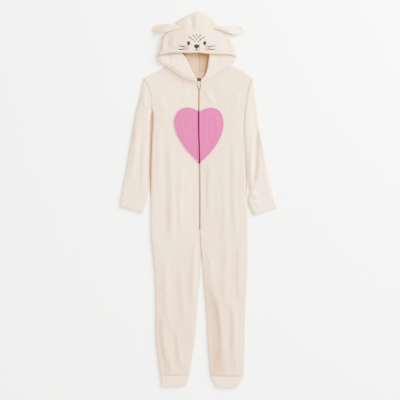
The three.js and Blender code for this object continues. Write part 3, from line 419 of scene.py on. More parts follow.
def pileMaterial(name, colour, deep, mottle=0.35, tuftScale=700, depth=0.0006, sheen=0.1,
                 shading=None, cheeks=()):
    material = bpy.data.materials.new(name)
    tree, shader = nodesOf(material)
    pile = addNode(tree, "ShaderNodeGroup", node_tree=brushedPile)
    pile.inputs["Colour"].default_value = (*colour, 1)
    pile.inputs["Deep Colour"].default_value = (*deep, 1)
    pile.inputs["Tuft Scale"].default_value = tuftScale
    pile.inputs["Mottle"].default_value = mottle
    relief = addNode(tree, "ShaderNodeBump")
    relief.inputs["Distance"].default_value = depth
    relief.inputs["Strength"].default_value = 0.6
    result = pile.outputs["Colour"]
    if shading:
        result = paintedShadeColour(tree, result, shading)
    for x, y, radius, pink in cheeks:   # soft round prints
        result = roundPrint(tree, result, (x, y), radius, pink)
    tree.links.new(result, shader.inputs["Base Color"])
    tree.links.new(pile.outputs["Roughness"], shader.inputs["Roughness"])
    tree.links.new(pile.outputs["Height"], relief.inputs["Height"])
    tree.links.new(relief.outputs["Normal"], shader.inputs["Normal"])
    shader.inputs["Sheen Weight"].default_value = sheen
    shader.inputs["Sheen Roughness"].default_value = 0.45
    shader.inputs["Sheen Tint"].default_value = (1, 1, 1, 1)
    shader.inputs["Specular IOR Level"].default_value = 0.08
    return material


def threadMaterial(name, colour, deep, tuftScale=2600, depth=0.00015):
    return pileMaterial(name, colour, deep, tuftScale=tuftScale, depth=depth, sheen=0.0)


# shading: the painted shade colour, mixed in by each piece's painted shade values
cream = dict(colour=(0.69, 0.487, 0.292), deep=(0.54, 0.357, 0.19), shading=(0.335, 0.192, 0.09))
cheekPink = (0.36, 0.07, 0.21)
faceSizes = dict(x=-8, eyeX=31, eyeY=599, noseY=586.5, cheekX=40, cheekY=580.5, cheekRadius=12)
creamFleece = pileMaterial("creamFleece", **cream)
backFleece = pileMaterial("backFleece", (0.635, 0.443, 0.262), (0.50, 0.332, 0.175))
crownFleece = pileMaterial("crownFleece", **cream, cheeks=[
    (faceSizes["x"] + way * faceSizes["cheekX"], faceSizes["cheekY"], faceSizes["cheekRadius"], cheekPink)
    for way in (-1, 1)])
# inside faces of the cloth: the cream fleece darkened to a painted shade, seen in the hood and in gaps
shadedInsideFleece = pileMaterial("shadedInsideFleece", (0.375, 0.198, 0.082), (0.275, 0.132, 0.047), tuftScale=900,
                            shading=(0.215, 0.102, 0.037))
# its shading colour is a painted shade, darkest beside the zip
pinkFleece = pileMaterial("pinkFleece", (0.28, 0.0145, 0.106), (0.205, 0.0085, 0.072), sheen=0.0,
                          shading=(0.085, 0.008, 0.022))
pinkThread = threadMaterial("pinkThread", (0.47, 0.04, 0.18), (0.36, 0.025, 0.13))
paleThread = threadMaterial("paleThread", (0.50, 0.15, 0.26), (0.40, 0.10, 0.20))
creamThread = threadMaterial("creamThread", (0.60, 0.42, 0.26), (0.44, 0.28, 0.155))
inkThread = threadMaterial("inkThread", (0.010, 0.009, 0.009), (0.026, 0.023, 0.022), 2400, 0.0002)
# zip tape and coil: their tan darkened by painted shade for the gap between the fronts; the shading colour is
# a painted pink reflection and shade
shadedZipCloth = pileMaterial("shadedZipCloth", (0.29, 0.17, 0.08), (0.2, 0.112, 0.048), tuftScale=1500, depth=0.0002,
                        sheen=0.05, shading=(0.078, 0.026, 0.037))
darkWeave = threadMaterial("darkWeave", (0.022, 0.015, 0.012), (0.045, 0.031, 0.024), 1800, 0.0002)
darkThread = threadMaterial("darkThread", (0.065, 0.045, 0.034), (0.045, 0.031, 0.024))


def metalMaterial():
    material = bpy.data.materials.new("paleMetal")
    tree, shader = nodesOf(material)
    place = addNode(tree, "ShaderNodeTexCoord")
    wear = addNode(tree, "ShaderNodeTexNoise")
    wear.inputs["Scale"].default_value = 900
    wear.inputs["Detail"].default_value = 4
    rough = addNode(tree, "ShaderNodeMapRange")
    rough.inputs["To Min"].default_value = 0.22
    rough.inputs["To Max"].default_value = 0.42
    tree.links.new(place.outputs["Object"], wear.inputs["Vector"])
    tree.links.new(wear.outputs["Fac"], rough.inputs["Value"])
    tree.links.new(rough.outputs["Result"], shader.inputs["Roughness"])
    tint = addNode(tree, "ShaderNodeMix", data_type="RGBA")
    tint.inputs[6].default_value = (0.92, 0.80, 0.68, 1)
    tint.inputs[7].default_value = (0.62, 0.52, 0.43, 1)
    tree.links.new(wear.outputs["Fac"], tint.inputs["Factor"])
    tree.links.new(tint.outputs[2], shader.inputs["Base Color"])
    shader.inputs["Metallic"].default_value = 0.9
    return material


paleMetal = metalMaterial()
print("finishes ready")

# body
zipSizes = dict(top=448.5, end=-108, halfGap=3, sliderHalfGap=7.4, sliderFrom=440)
frontSizes = dict(columns=46, yokeRows=44, bodyRows=92, hipRows=20, legRows=92, edgeRoll=1.6,
                  seamRoll=2.2, facing=6.5)

# largest folds of the front, as from x, y, to x, y, half width, rise, bow
frontFolds = [
    (-108, 250, -106, -190, 14, 4.2, -5), (-132, 240, -130, -160, 12, -2, -4),
    (-62, 150, -68, -150, 13, 3.4, 4), (-150, 300, -156, 60, 10, 2.6, 3),
    (-28, 120, -22, -120, 11, -1.8, 0), (44, 150, 40, -60, 12, 3.8, 4),
    (24, 140, 28, -30, 9, -1.4, 0), (92, 130, 96, -200, 14, 3, -5),
    (138, 250, 146, -170, 12, 4.2, 6), (120, 230, 124, -100, 10, -2, 5),
    (22, 432, 62, 366, 8, 2.6, 4), (52, 440, 70, 360, 9, -1.6, 3),
    (-150, 420, -120, 330, 14, 2.4, 8), (140, 430, 134, 320, 14, 2.6, -8),
    (-18, -150, -28, -420, 11, 3.6, -4), (-66, -230, -58, -470, 13, 2.6, 5),
    (-126, -200, -112, -500, 13, 3, 6), (-142, -430, -118, -640, 11, 3.4, 6),
    (-80, -480, -66, -650, 10, 3.2, 4), (-98, -520, -92, -664, 8, -1.8, 0),
    (34, -190, 58, -420, 13, 3, -6), (64, -330, 88, -640, 13, 4.4, -8),
    (112, -150, 104, -420, 12, 3.2, 5), (160, -150, 156, -400, 11, 3.2, 4),
    (134, -380, 132, -620, 11, 3, -5), (116, -400, 112, -600, 9, -1.8, -4),
]

# smaller creases: from the neck, under the arms, at the crotch, knees and ankles
frontCreases = [
    (-30, 446, -64, 372, 6, 1.1, 3), (-60, 458, -96, 404, 7, -0.9, -3), (84, 470, 96, 380, 7, 0.9, 4),
    (-176, 340, -122, 300, 7, 1.3, 4), (-172, 322, -126, 262, 6, -1.1, 3), (168, 318, 122, 282, 7, 1.3, -4),
    (168, 300, 128, 240, 6, -1.0, -3), (-168, 120, -150, 40, 7, 1.0, 2), (-88, 60, -84, -60, 7, -1.1, 2),
    (66, 60, 70, -90, 7, 1.0, -3), (164, 60, 160, -60, 7, 1.1, 2), (8, -196, -60, -236, 8, 1.4, 4),
    (8, -204, -44, -272, 7, -1.2, -3), (12, -196, 74, -232, 8, 1.4, -4), (14, -206, 56, -276, 7, -1.2, 3),
    (-40, -300, -96, -330, 9, 1.0, 5), (-150, -330, -100, -372, 8, 1.0, -5),
    (60, -300, 116, -324, 9, 1.0, -5),
    (164, -420, 120, -452, 8, 1.0, 4), (-44, -560, -52, -664, 6, 1.5, 2), (-112, -590, -108, -668, 5, 1.3, 0),
    (-136, -600, -134, -668, 5, -1.1, 0), (60, -590, 64, -672, 6, 1.5, -2), (100, -600, 98, -672, 5, 1.3, 0),
    (144, -600, 146, -672, 6, 1.4, 0), (124, -610, 122, -672, 5, -1.2, 0), (-100, 220, -96, 60, 6, -1.0, 2),
    (-40, 90, -46, -20, 6, 1.0, -2), (110, 90, 114, -60, 6, -1.1, 2), (-150, -40, -146, -180, 8, -1.2, 3),
]

# broad, low swells that turn whole areas towards or away from the light
frontSwells = [
    (92, -250, 122, -700, 44, 5.2, -8), (-30, -180, -60, -560, 36, 1.8, -8),
    (-116, -390, -98, -700, 32, 3.2, 6),
    (-70, 330, -84, -160, 46, 1.6, 6), (70, 330, 92, -160, 44, 1.6, -8), (140, -200, 140, -640, 30, 1.6, 4),
    (120, 470, 128, 180, 40, 1.4, 6), (-120, 470, -128, 200, 40, 1.4, -6),
]

# bands of painted shade where the cloth turns away from the light
frontShadeBands = [
    (-124, 190, -124, -160, 9, 0.16, 0), (-80, 210, -82, -60, 8, 0.1, 2), (32, 180, 34, -10, 8, 0.05, 0),
    (132, 170, 152, -130, 11, 0.14, 4), (-18, -90, -24, -400, 9, 0.18, -2),
    (-138, -420, -122, -720, 15, 0.26, 4),
    (-68, -480, -66, -690, 8, 0.15, 2), (46, -280, 74, -770, 24, 0.55, 4), (62, -520, 84, -720, 20, 0.22, 0),
    (108, -120, 108, -420, 8, 0.12, 2),
    (128, -370, 126, -620, 8, 0.12, 0), (159, -140, 158, -400, 8, 0.12, 0), (40, 445, 46, 366, 8, 0.12, 2),
    (-60, -40, -58, -260, 22, 0.08, 0), (60, -20, 66, -240, 26, 0.08, 0),
    (-176, -120, -150, -420, 12, 0.1, 0),
]


def centreX(y):
    return xAt(centreFront, y)


def halfOpening(y):   # apart at the slider, along the zip, then a closed seam
    z = zipSizes
    atSlider = ease((y - (z["sliderFrom"] - 26)) / 20)
    atEnd = ease((y - (z["end"] - 9)) / 8)
    return mix(laid["seamGap"] / 2, z["halfGap"], atEnd) + (z["sliderHalfGap"] - z["halfGap"]) * atSlider


def levelAt(distance):
    flatRise = laid["frontHeight"] - laid["backRim"] - laid["seamGap"] - laid["turnRise"]
    rise = flatRise * (1 - np.exp(-distance / laid["turnRadius"]))
    return laid["backRim"] + laid["seamGap"] + laid["turnRise"] * turned(distance, laid["turnRadius"]) + rise


def frontSurface(half):
    edges = [chainOf(half["shoulder"]), chainOf(half["bodySide"]), chainOf(half["inseam"])]
    neck, inseam = [chainOf(half["frontNeck"])], [chainOf(half["inseam"])]
    arm = [chainOf(half["armhole"])]

    def height(x, y):
        xy = np.stack([x, y], -1)
        fromEdge, fromNeck, fromArm = distanceTo(edges, xy), distanceTo(neck, xy), distanceTo(arm, xy)
        fromZip = np.abs(x - centreX(y))
        fromOpening = np.maximum(0, fromZip - halfOpening(y))
        calm = ease(fromZip / 16 - 0.4) * ease(fromEdge / 14 - 0.2)
        level = levelAt(fromEdge)
        strength = mix(1.4, 0.9, ease((y + 120) / 200))
        rise = calm * (strength * foldsAt(frontFolds, x, y) + foldsAt(frontCreases, x, y)
                       + foldsAt(frontSwells, x, y))
        rise += (0.5 * ease(fromEdge / 20) * softNoise(x, y, 46, 90, 3)
                 + 0.22 * ease(fromEdge / 12) * softNoise(x, y, 13, 17, 4))
        rise += 0.35 * bump(fromOpening - 9, 7) * softNoise(x, y, 30, 16, 5)   # ripples that the zip draws in
        z = np.maximum(level + rise, np.minimum(level, laid["lowestFront"]))
        zipped = ease((y - zipSizes["end"]) / 8)
        roll = mix(frontSizes["seamRoll"], frontSizes["edgeRoll"], zipped)
        z -= roll * (1 - turned(fromOpening, roll))
        z -= 0.5 * zipped * bump(fromOpening - frontSizes["facing"], 1.2)
        atAnkle = np.exp(-(y - half["inseam"][0][1]) / 5)
        z -= (0.25 + 0.3 * softNoise(x, y, 17, 60, 9)) * atAnkle * ease(fromEdge / 6)
        z -= 1.5 * np.exp(-fromNeck / 2.4) + half["armDip"] * np.exp(-fromArm / 2.6) * ease(fromEdge / 6)
        z += 0.3 * bump(fromArm - 5, 4) * softNoise(x, y, 9, 9, 6)
        return z

    def nest(x, y):   # painted shade beside the zip, seams and gaps
        xy = np.stack([x, y], -1)
        fromEdge, fromNeck, fromArm = distanceTo(edges, xy), distanceTo(neck, xy), distanceTo(arm, xy)
        fromOpening = np.maximum(0, np.abs(x - centreX(y)) - halfOpening(y))
        besideZip = np.where(y > zipSizes["end"], 0.9 * np.exp(-fromOpening / 1.6),
                             np.exp(-(fromOpening / 3.7) ** 2))
        besideZip = np.where(y < half["inseam"][-1][1], 0, besideZip)
        inseamShade = np.interp(y, (-420, -350, -280, -200), (0, 0.4, 1, 1))
        atInseam = bump(distanceTo(inseam, xy), 4.6) * inseamShade * half["inseamShade"]
        neckShade = np.interp(x * half["side"], (0, 20, 60, 130), half["neckShade"])
        atNeck = np.exp(-(fromNeck / 16) ** 1.5) * neckShade
        atArm = np.exp(-fromArm / 4) * np.interp(y, (330, 380, 440, 470), half["armShade"])
        edgeShade = np.interp(y, (-700, -330, -230, -190, 0, 60, 320, 370), half["edgeShade"])
        atEdge = np.exp(-fromEdge / 3.0) * edgeShade
        # painted shade in bands, and over the whole piece, more on the legs
        napAndShade = (foldsAt(frontShadeBands, x, y) * (1 + 0.4 * softNoise(x, y, 18, 40, 7))
               + 0.05 * softNoise(x, y, 34, 60, 8))
        base = half["napAndShade"]["front"] + half["napAndShade"]["leg"] * ease((-80 - y) / 420)
        shading = np.maximum.reduce([besideZip, atNeck, atArm, atEdge, atInseam]) + np.maximum(0, napAndShade)
        return np.clip(base + (1 - base) * shading, 0, 1)
    height.nest = nest
    return height


def bodyPlan(half, neck, innerX, sizes):
    underarm, ankle, crotch = half["bodySide"][0][1], half["inseam"][0][1], crotchPoint[1]
    columns = sizes["columns"]
    neckCurve, shoulderCurve, armCurve = map(smoothCurve, (neck, half["shoulder"], half["armhole"]))
    neckShare = neckCurve.length / (neckCurve.length + shoulderCurve.length)
    topY = neck[0][1]

    def top(u):
        onNeck = neckCurve(u / neckShare)
        return np.where((u <= neckShare)[..., None], onNeck, shoulderCurve((u - neckShare) / (1 - neckShare)))
    vs = spread(sizes["yokeRows"], 110, 0, 1)
    us = np.array([spread(columns, 180, 0.6, ease(1 - 3 * v)) for v in vs])
    v2 = np.repeat(vs[:, None], columns + 1, 1)
    underX = innerX(np.float64(underarm))
    yoke = patch(
        lambda v: np.stack([innerX(mix(underarm, topY, v)), mix(underarm, topY, v)], -1),
        lambda v: armCurve(1 - v),
        lambda u: np.stack([mix(underX, half["bodySide"][0][0], u), np.full_like(u, underarm)], -1),
        top, us, v2)[::-1]
    heights = np.concatenate([
        np.linspace(underarm, zipSizes["end"], sizes["bodyRows"])[1:],
        np.linspace(zipSizes["end"] - 3, crotch, sizes["hipRows"]),
        [crotch - 3], np.linspace(crotch - 8, ankle, sizes["legRows"])])
    rows = []
    for y in heights:
        inner = float(innerX(np.float64(y))) if y >= crotch else float(xAt(half["inseam"], np.float64(y)))
        outer = float(xAt(half["bodySide"], np.float64(y)))
        u = spread(columns, abs(outer - inner), 0.6 + 0.4 * float(ease((crotch - y) / 60)), 1)
        rows.append(np.stack([mix(inner, outer, u), np.full_like(u, y)], -1))
    return np.concatenate([yoke, np.array(rows)])


frontOf = {}
for half in bothHalves:
    height = frontOf[half["name"]] = frontSurface(half)
    plan = bodyPlan(half, half["frontNeck"],
                    lambda y, s=half["side"]: centreX(y) + s * halfOpening(y), frontSizes)
    points = withHeights(plan, height(plan[..., 0], plan[..., 1]))
    bm = gridPiece(points, nest=height.nest(plan[..., 0], plan[..., 1]))
    front = finishPiece("front" + half["name"], bm, "front_" + half["node"],
                        [creamFleece, shadedInsideFleece], wall=laid["wall"], up=1)
print("fronts laid")

backSizes = dict(columns=30, yokeRows=24, bodyRows=48, hipRows=10, legRows=50)
backCreases = [
    (-96, 380, -104, 120, 16, 1.2, 6), (-50, 240, -60, -60, 14, 1.0, -5), (-140, 120, -134, -120, 13, 1.1, 4),
    (60, 360, 72, 60, 15, 1.2, -6), (112, 260, 120, -60, 14, 1.0, 5), (36, 40, 42, -170, 12, 0.9, 3),
    (-60, -240, -76, -520, 14, 1.2, 6), (-120, -330, -116, -600, 12, 1.0, -4),
    (70, -240, 88, -500, 14, 1.2, -6),
    (140, -300, 134, -560, 12, 1.0, 4), (-40, -560, -60, -660, 9, 0.9, 2), (110, -560, 104, -664, 9, 0.9, -2),
    (-150, 330, -90, 300, 9, 0.9, 4), (150, 310, 94, 280, 9, 0.9, -4), (-8, -190, -70, -240, 10, 0.9, 3),
]


def backSurface(half):
    edges = [chainOf(half["shoulder"]), chainOf(half["bodySide"]), chainOf(half["inseam"])]

    def height(x, y):
        fromEdge = distanceTo(edges, np.stack([x, y], -1))
        rise = foldsAt(backCreases, x, y) * ease(fromEdge / 20 - 0.2)
        return laid["backRim"] * (1 - turned(fromEdge, laid["turnRadius"])) + np.maximum(0, rise)
    return height


def seamX(y):   # centre back seam, from the crotch over the neck to the hood's peak
    low = mix(0, crotchPoint[0], (neckPoint[1] - y) / (neckPoint[1] - crotchPoint[1]))
    high = mix(0, hoodPeak[0], (y - neckPoint[1]) / (hoodPeak[1] - neckPoint[1]))
    return np.where(y < neckPoint[1], low, high)


for half in bothHalves:
    height = backSurface(half)
    plan = bodyPlan(half, half["backNeck"],
                    lambda y, s=half["side"]: seamX(y) + s * laid["seamGap"] / 2, backSizes)
    z = height(plan[..., 0], plan[..., 1])
    inSide = np.abs(plan[..., 0] - plan[:, -1:, 0])
    lip = np.interp(plan[..., 1], *half["lip"]) * np.exp(-inSide / 7)   # lies out under the sleeve
    z *= 1 - np.clip(lip / 4, 0, 1)
    plan[..., 0] += half["side"] * lip
    # painted shade on the lip that shows in the gap beside the sleeve
    bm = gridPiece(withHeights(plan, z), nest=half["napAndShade"]["back"] + 0.5 * np.clip(lip / 2.5, 0, 1))
    back = finishPiece("back" + half["name"], bm, "back_" + half["node"],
                       [backFleece, shadedInsideFleece], wall=laid["wall"], up=-1)
print("backs laid")

# sleeves and cuffs
sleeveSizes = dict(columns=26, rows=104, hemDepth=23, hemRise=1.2, armholeGap=0.36)
threadLift = 0.12   # of a stitch off its cloth
sleeveFolds = [
    (-236, 300, -262, 60, 13, 2.8, -5), (-206, 250, -214, 20, 10, 2.2, 4), (-212, 420, -200, 350, 10, 2, 3),
    (238, 300, 217, 40, 8, -4.2, 5), (214, 280, 203, 60, 10, 3, 5), (246, 150, 268, -10, 12, 2.4, -4),
    (206, 34, 232, -2, 7, 2.6, 3), (204, -6, 232, -26, 6, 2.4, -2),
]
# bands of painted shade on the sleeves
sleeveShadeBands = [
    (224, 290, 210, 26, 7, 1.1, -9), (-228, 450, -262, 190, 20, 0.3, 0), (-250, 330, -282, 40, 16, 0.14, 0),
    (206, 20, 232, -8, 7, 0.2, 2), (240, 200, 262, 20, 9, 0.1, 0), (-214, 300, -226, 40, 8, 0.12, 2),
]
sleeveCreases = [
    (-196, 330, -232, 306, 6, 1.2, 3), (-194, 280, -226, 262, 6, -1.0, 2), (-250, 200, -212, 176, 7, 1.0, 3),
    (-274, 120, -236, 92, 7, -0.9, -3), (-224, 20, -262, 2, 6, 1.0, 2), (-240, 400, -216, 330, 8, 1.0, 3),
    (216, 420, 206, 340, 8, 1.2, -3), (186, 300, 214, 282, 6, 1.3, 2), (226, 240, 244, 190, 6, -1.0, 2),
    (196, 60, 226, 44, 5, 1.5, 2), (196, 12, 222, 18, 5, 1.6, -2), (230, 40, 262, 24, 6, 1.0, 2),
    (252, 90, 240, 30, 7, 1.0, 2), (210, -30, 238, -38, 5, -1.2, 1),
]


def tubePoints(plan, upper, lower, rim):
    top = withHeights(plan, upper)
    bottom = withHeights(plan, lower)[:, ::-1]
    top[:, 0, 2] = top[:, -1, 2] = bottom[:, 0, 2] = bottom[:, -1, 2] = rim
    return np.concatenate([top, bottom[:, 1:]], 1)


hemRows = []
for half in bothHalves:
    vs = spread(sleeveSizes["rows"], 520, 0.5, 0.5)
    us = np.repeat(spread(sleeveSizes["columns"], 95, 1, 1)[None], len(vs), 0)
    v2 = np.repeat(vs[:, None], us.shape[1], 1)
    inner, outer = smoothCurve(half["sleeveInner"]), smoothCurve(half["sleeveOuter"])
    arm, end = smoothCurve(half["armhole"][::-1]), smoothCurve(half["sleeveEnd"])
    plan = relaxed(patch(inner, outer, arm, end, us, v2), np.array(half["sleeveInner"][0]), 26)
    plan[..., 0] += half["side"] * sleeveSizes["armholeGap"] * (1 - v2)
    x, y = plan[..., 0], plan[..., 1]
    fromEdge = distanceTo([plan[:, 0], plan[:, -1]], plan)
    fromEnd = distanceTo([np.array(half["sleeveEnd"], float)], plan)
    fromArm = distanceTo([chainOf(half["armhole"])], plan)
    level = levelAt(fromEdge)
    calm = ease(fromEdge / 14 - 0.2)
    hem = sleeveSizes["hemRise"] * ease((sleeveSizes["hemDepth"] - fromEnd) / 4 + 0.5) * turned(fromEdge, 8)
    rise = calm * (1.5 * foldsAt(sleeveFolds, x, y) + foldsAt(sleeveCreases, x, y)) + hem
    rise += 0.4 * calm * softNoise(x, y, 30, 60, 11) + 0.2 * ease(fromEdge / 10) * softNoise(x, y, 11, 14, 12)
    upper = np.maximum(level + rise, np.minimum(level, laid["lowestFront"]))
    upper -= 0.7 * bump(fromEnd - sleeveSizes["hemDepth"], 1.3) * ease(fromEdge / 4)
    upper += half["sleeveTilt"] * calm * (0.5 - us) * ease(fromArm / 40)
    upper -= (0.6 + 0.8 * half["armDip"]) * np.exp(-fromArm / 2.6) * ease(fromEdge / 6)
    upper -= 1.2 * (1 - turned(fromEnd, 2.5)) * ease(fromEdge / 4)
    rim = laid["backRim"] + laid["seamGap"] / 2
    lower = rim * (1 - turned(fromEdge, 8))
    lower += 0.6 * ease(fromEdge / 20 - 0.2) * np.maximum(0, softNoise(x, y, 24, 70, 13))
    # painted shade along the inner edge, the armhole and the hem
    fromInner = np.hypot(*(plan - plan[:, :1]).transpose(2, 0, 1))
    nest = np.exp(-fromInner / 6.5) * np.interp(y, *half["sleeveShade"])
    nest = np.maximum(nest, np.exp(-fromArm / 3.2) * np.interp(y, (330, 380, 440, 470), half["armShade"]))
    nest = np.maximum(nest, 0.3 * bump(fromEnd - sleeveSizes["hemDepth"], 1.5)) + foldsAt(sleeveShadeBands, x, y)
    base = half["napAndShade"]["sleeve"]
    nest = np.clip(base + (1 - base) * (nest + 0.05 * softNoise(x, y, 30, 60, 14)), 0, 1)
    nest = np.concatenate([nest, nest[:, ::-1][:, 1:]], 1)
    points = tubePoints(plan, upper, lower, rim)
    sleeve = finishPiece("sleeve" + half["name"], gridPiece(points, ring=True, nest=nest),
                         "sleeve_" + half["node"], [creamFleece, shadedInsideFleece], wall=laid["wall"])
    stitchDepth, columns = sleeveSizes["hemDepth"] - 2.2, (x, y, upper + threadLift)
    hemRow = [[np.interp(stitchDepth, fromEnd[::-1, k], column[::-1, k]) for column in columns]
              for k in range(3, plan.shape[1] - 3)]
    hemRows.append((half, hemRow))

cuffSizes = dict(columns=84, rows=20, gathers=7, rise=0.62)
for half in bothHalves:
    ankle, side = half["inseam"][0], half["bodySide"][-1]
    first, last = half["cuffEnd"][0], half["cuffEnd"][-1]
    topY = ankle[1] - 0.15
    width = abs(side[0] - ankle[0])
    vs = spread(cuffSizes["rows"], 40, 0.4, 0.6)
    us = np.repeat(spread(cuffSizes["columns"], width, 0.6, 0.6)[None], len(vs), 0)
    v2 = np.repeat(vs[:, None], us.shape[1], 1)
    plan = patch(straight((ankle[0], topY), first), straight((side[0], topY), last),
                 straight((ankle[0], topY), (side[0], topY)), smoothCurve(half["cuffEnd"]), us, v2)
    x, y = plan[..., 0], plan[..., 1]
    fromEdge = distanceTo([plan[:, 0], plan[:, -1]], plan)
    fromEnd = distanceTo([plan[-1]], plan)
    fromTop = distanceTo([plan[0]], plan)
    turn = us * cuffSizes["gathers"] * 2 * math.pi
    turn += 1.3 * softNoise(us * 100, v2 * 3, 9, 4, 21 + half["side"])
    wave = (np.sin(turn) * 0.7 + 0.3 * np.sin(2.3 * turn + 1)) * ease(fromEdge / 9)
    depth = cuffSizes["rise"] * mix(1.0, 0.75, v2) * (0.8 + 0.45 * softNoise(x, y, 12, 30, 23))
    upper = levelAt(fromEdge) - 0.55 * turned(fromEdge, 8) + depth * wave + 0.5 * ease(fromEdge / 8)
    upper -= (0.12 + 0.35 * softNoise(x, y, 11, 60, 24)) * np.exp(-fromTop / 5) * ease(fromEdge / 6)
    upper -= 0.5 * bump(fromTop - 22 - 1.5 * softNoise(x, y, 16, 60, 25), 2.4) * ease(fromEdge / 5)
    upper -= 1.0 * (1 - turned(fromEnd, 2.5))
    rim = laid["backRim"] + laid["seamGap"] / 2
    lower = rim * (1 - turned(fromEdge, 8)) + np.maximum(0, 1.0 * wave * v2 * ease(fromEdge / 12 - 0.3))
    # painted shade, even over the cuff
    bm = gridPiece(tubePoints(plan, upper, lower, rim), ring=True, nest=half["napAndShade"]["cuff"])
    cuff = finishPiece("cuff" + half["name"], bm, "cuff_" + half["node"],
                       [creamFleece, shadedInsideFleece], wall=laid["wall"])
print("sleeves and cuffs laid")

# hood
hoodSizes = dict(columns=44, backRows=60, crownRows=52, flapRows=34, neckGap=0.45, brimHem=10, edgeRoll=2.6)
hoodFolds = [(-27, 712, -29, 640, 10, -3.7, 0), (-8, 722, -6, 640, 9, 2, 0),
             (-112, 640, -118, 575, 13, -3, 4),
             (92, 640, 112, 575, 13, -2, -4)]
hoodCreases = [(-60, 700, -66, 664, 6, -0.9, 0), (14, 716, 22, 650, 7, 1.0, 2),
               (44, 700, 50, 652, 7, -0.9, 2),
               (-92, 628, -98, 580, 7, 1.0, 2), (-136, 600, -132, 566, 6, 1.0, 0),
               (120, 610, 126, 566, 6, 1.0, 0),
               (70, 648, 82, 610, 7, 0.8, 2)]
earRootShade = [(-102, 680, -52, 655, 4.5, 0.9, 0)]   # painted shade along the ear's root on the crown
flapFolds = [(-116, 566, -112, 520, 9, -3, 0), (66, 566, 74, 500, 9, -2, 3)]
flapCreases = [(-140, 560, -138, 524, 6, 1.0, 0), (-88, 562, -70, 500, 7, 0.9, 2),
               (-60, 520, -40, 474, 6, -0.7, 2),
               (112, 556, 108, 520, 6, 0.9, 0), (52, 560, 50, 490, 6, 0.7, 2), (92, 548, 60, 484, 7, -0.8, 3)]


def hoodShare(half, y):   # the hood lies thinner low down at its sides
    return mix(laid["sideShare"], 1, ease((y - half["hoodOutline"][0][1] - 18) / 40))


def hoodGrid(rows, lastTurn):
    return np.meshgrid(spread(hoodSizes["columns"], 120, 0, 1), spread(rows, 120, 0.6, lastTurn))


def crownSurface(half):
    outline, brim = [chainOf(half["hoodOutline"])], [chainOf(half["brim"])]

    def height(x, y):
        xy = np.stack([x, y], -1)
        d, fromBrim = distanceTo(outline, xy), distanceTo(brim, xy)
        fullRise = (laid["brimHeight"] - laid["hoodRim"]) * hoodShare(half, y)
        z = laid["hoodRim"] - laid["hoodOverlap"] + fullRise * turned(d, laid["hoodRadius"])
        z += laid["crownRise"] * ease((d - laid["hoodRadius"]) / 50)
        z += ease(d / 18) * (1.4 * foldsAt(hoodFolds, x, y) + foldsAt(hoodCreases, x, y))
        z += ease(d / 24) * (0.5 * softNoise(x, y, 40, 50, 31) + 0.2 * softNoise(x, y, 12, 12, 32))
        z -= hoodSizes["edgeRoll"] * (1 - turned(fromBrim, hoodSizes["edgeRoll"])) * ease(d / 8)
        z += (0.7 * bump(fromBrim - 4, 3) - 0.6 * bump(fromBrim - hoodSizes["brimHem"], 1.4)) * ease(d / 8)
        z -= 0.9 * np.exp(-np.abs(x - seamX(y)) / 1.6) * (0.12 + 0.88 * ease((y - 630) / 40))
        return z
    return height


def flapSurface(half):
    outline, seam, edge = ([chainOf(half[line])] for line in ("hoodOutline", "frontNeck", "vEdge"))

    def height(x, y):
        xy = np.stack([x, y], -1)
        d, fromSeam, fromEdge = distanceTo(outline, xy), distanceTo(seam, xy), distanceTo(edge, xy)
        level = mix(laid["flapSeamHeight"], laid["flapHeight"], ease(fromSeam / laid["flapSeamReach"]))
        z = laid["hoodRim"] - laid["hoodOverlap"] + (level - laid["hoodRim"]) * turned(d, laid["hoodRadius"])
        z += ease(d / 18) * (foldsAt(flapFolds, x, y) + foldsAt(flapCreases, x, y))
        z += 0.3 * ease(d / 18) * softNoise(x, y, 30, 30, 33)
        z -= hoodSizes["edgeRoll"] * (1 - turned(fromEdge, hoodSizes["edgeRoll"]))
        z += 0.5 * bump(fromEdge - 4, 3) - 0.5 * bump(fromEdge - hoodSizes["brimHem"], 1.4)
        return z
    return height


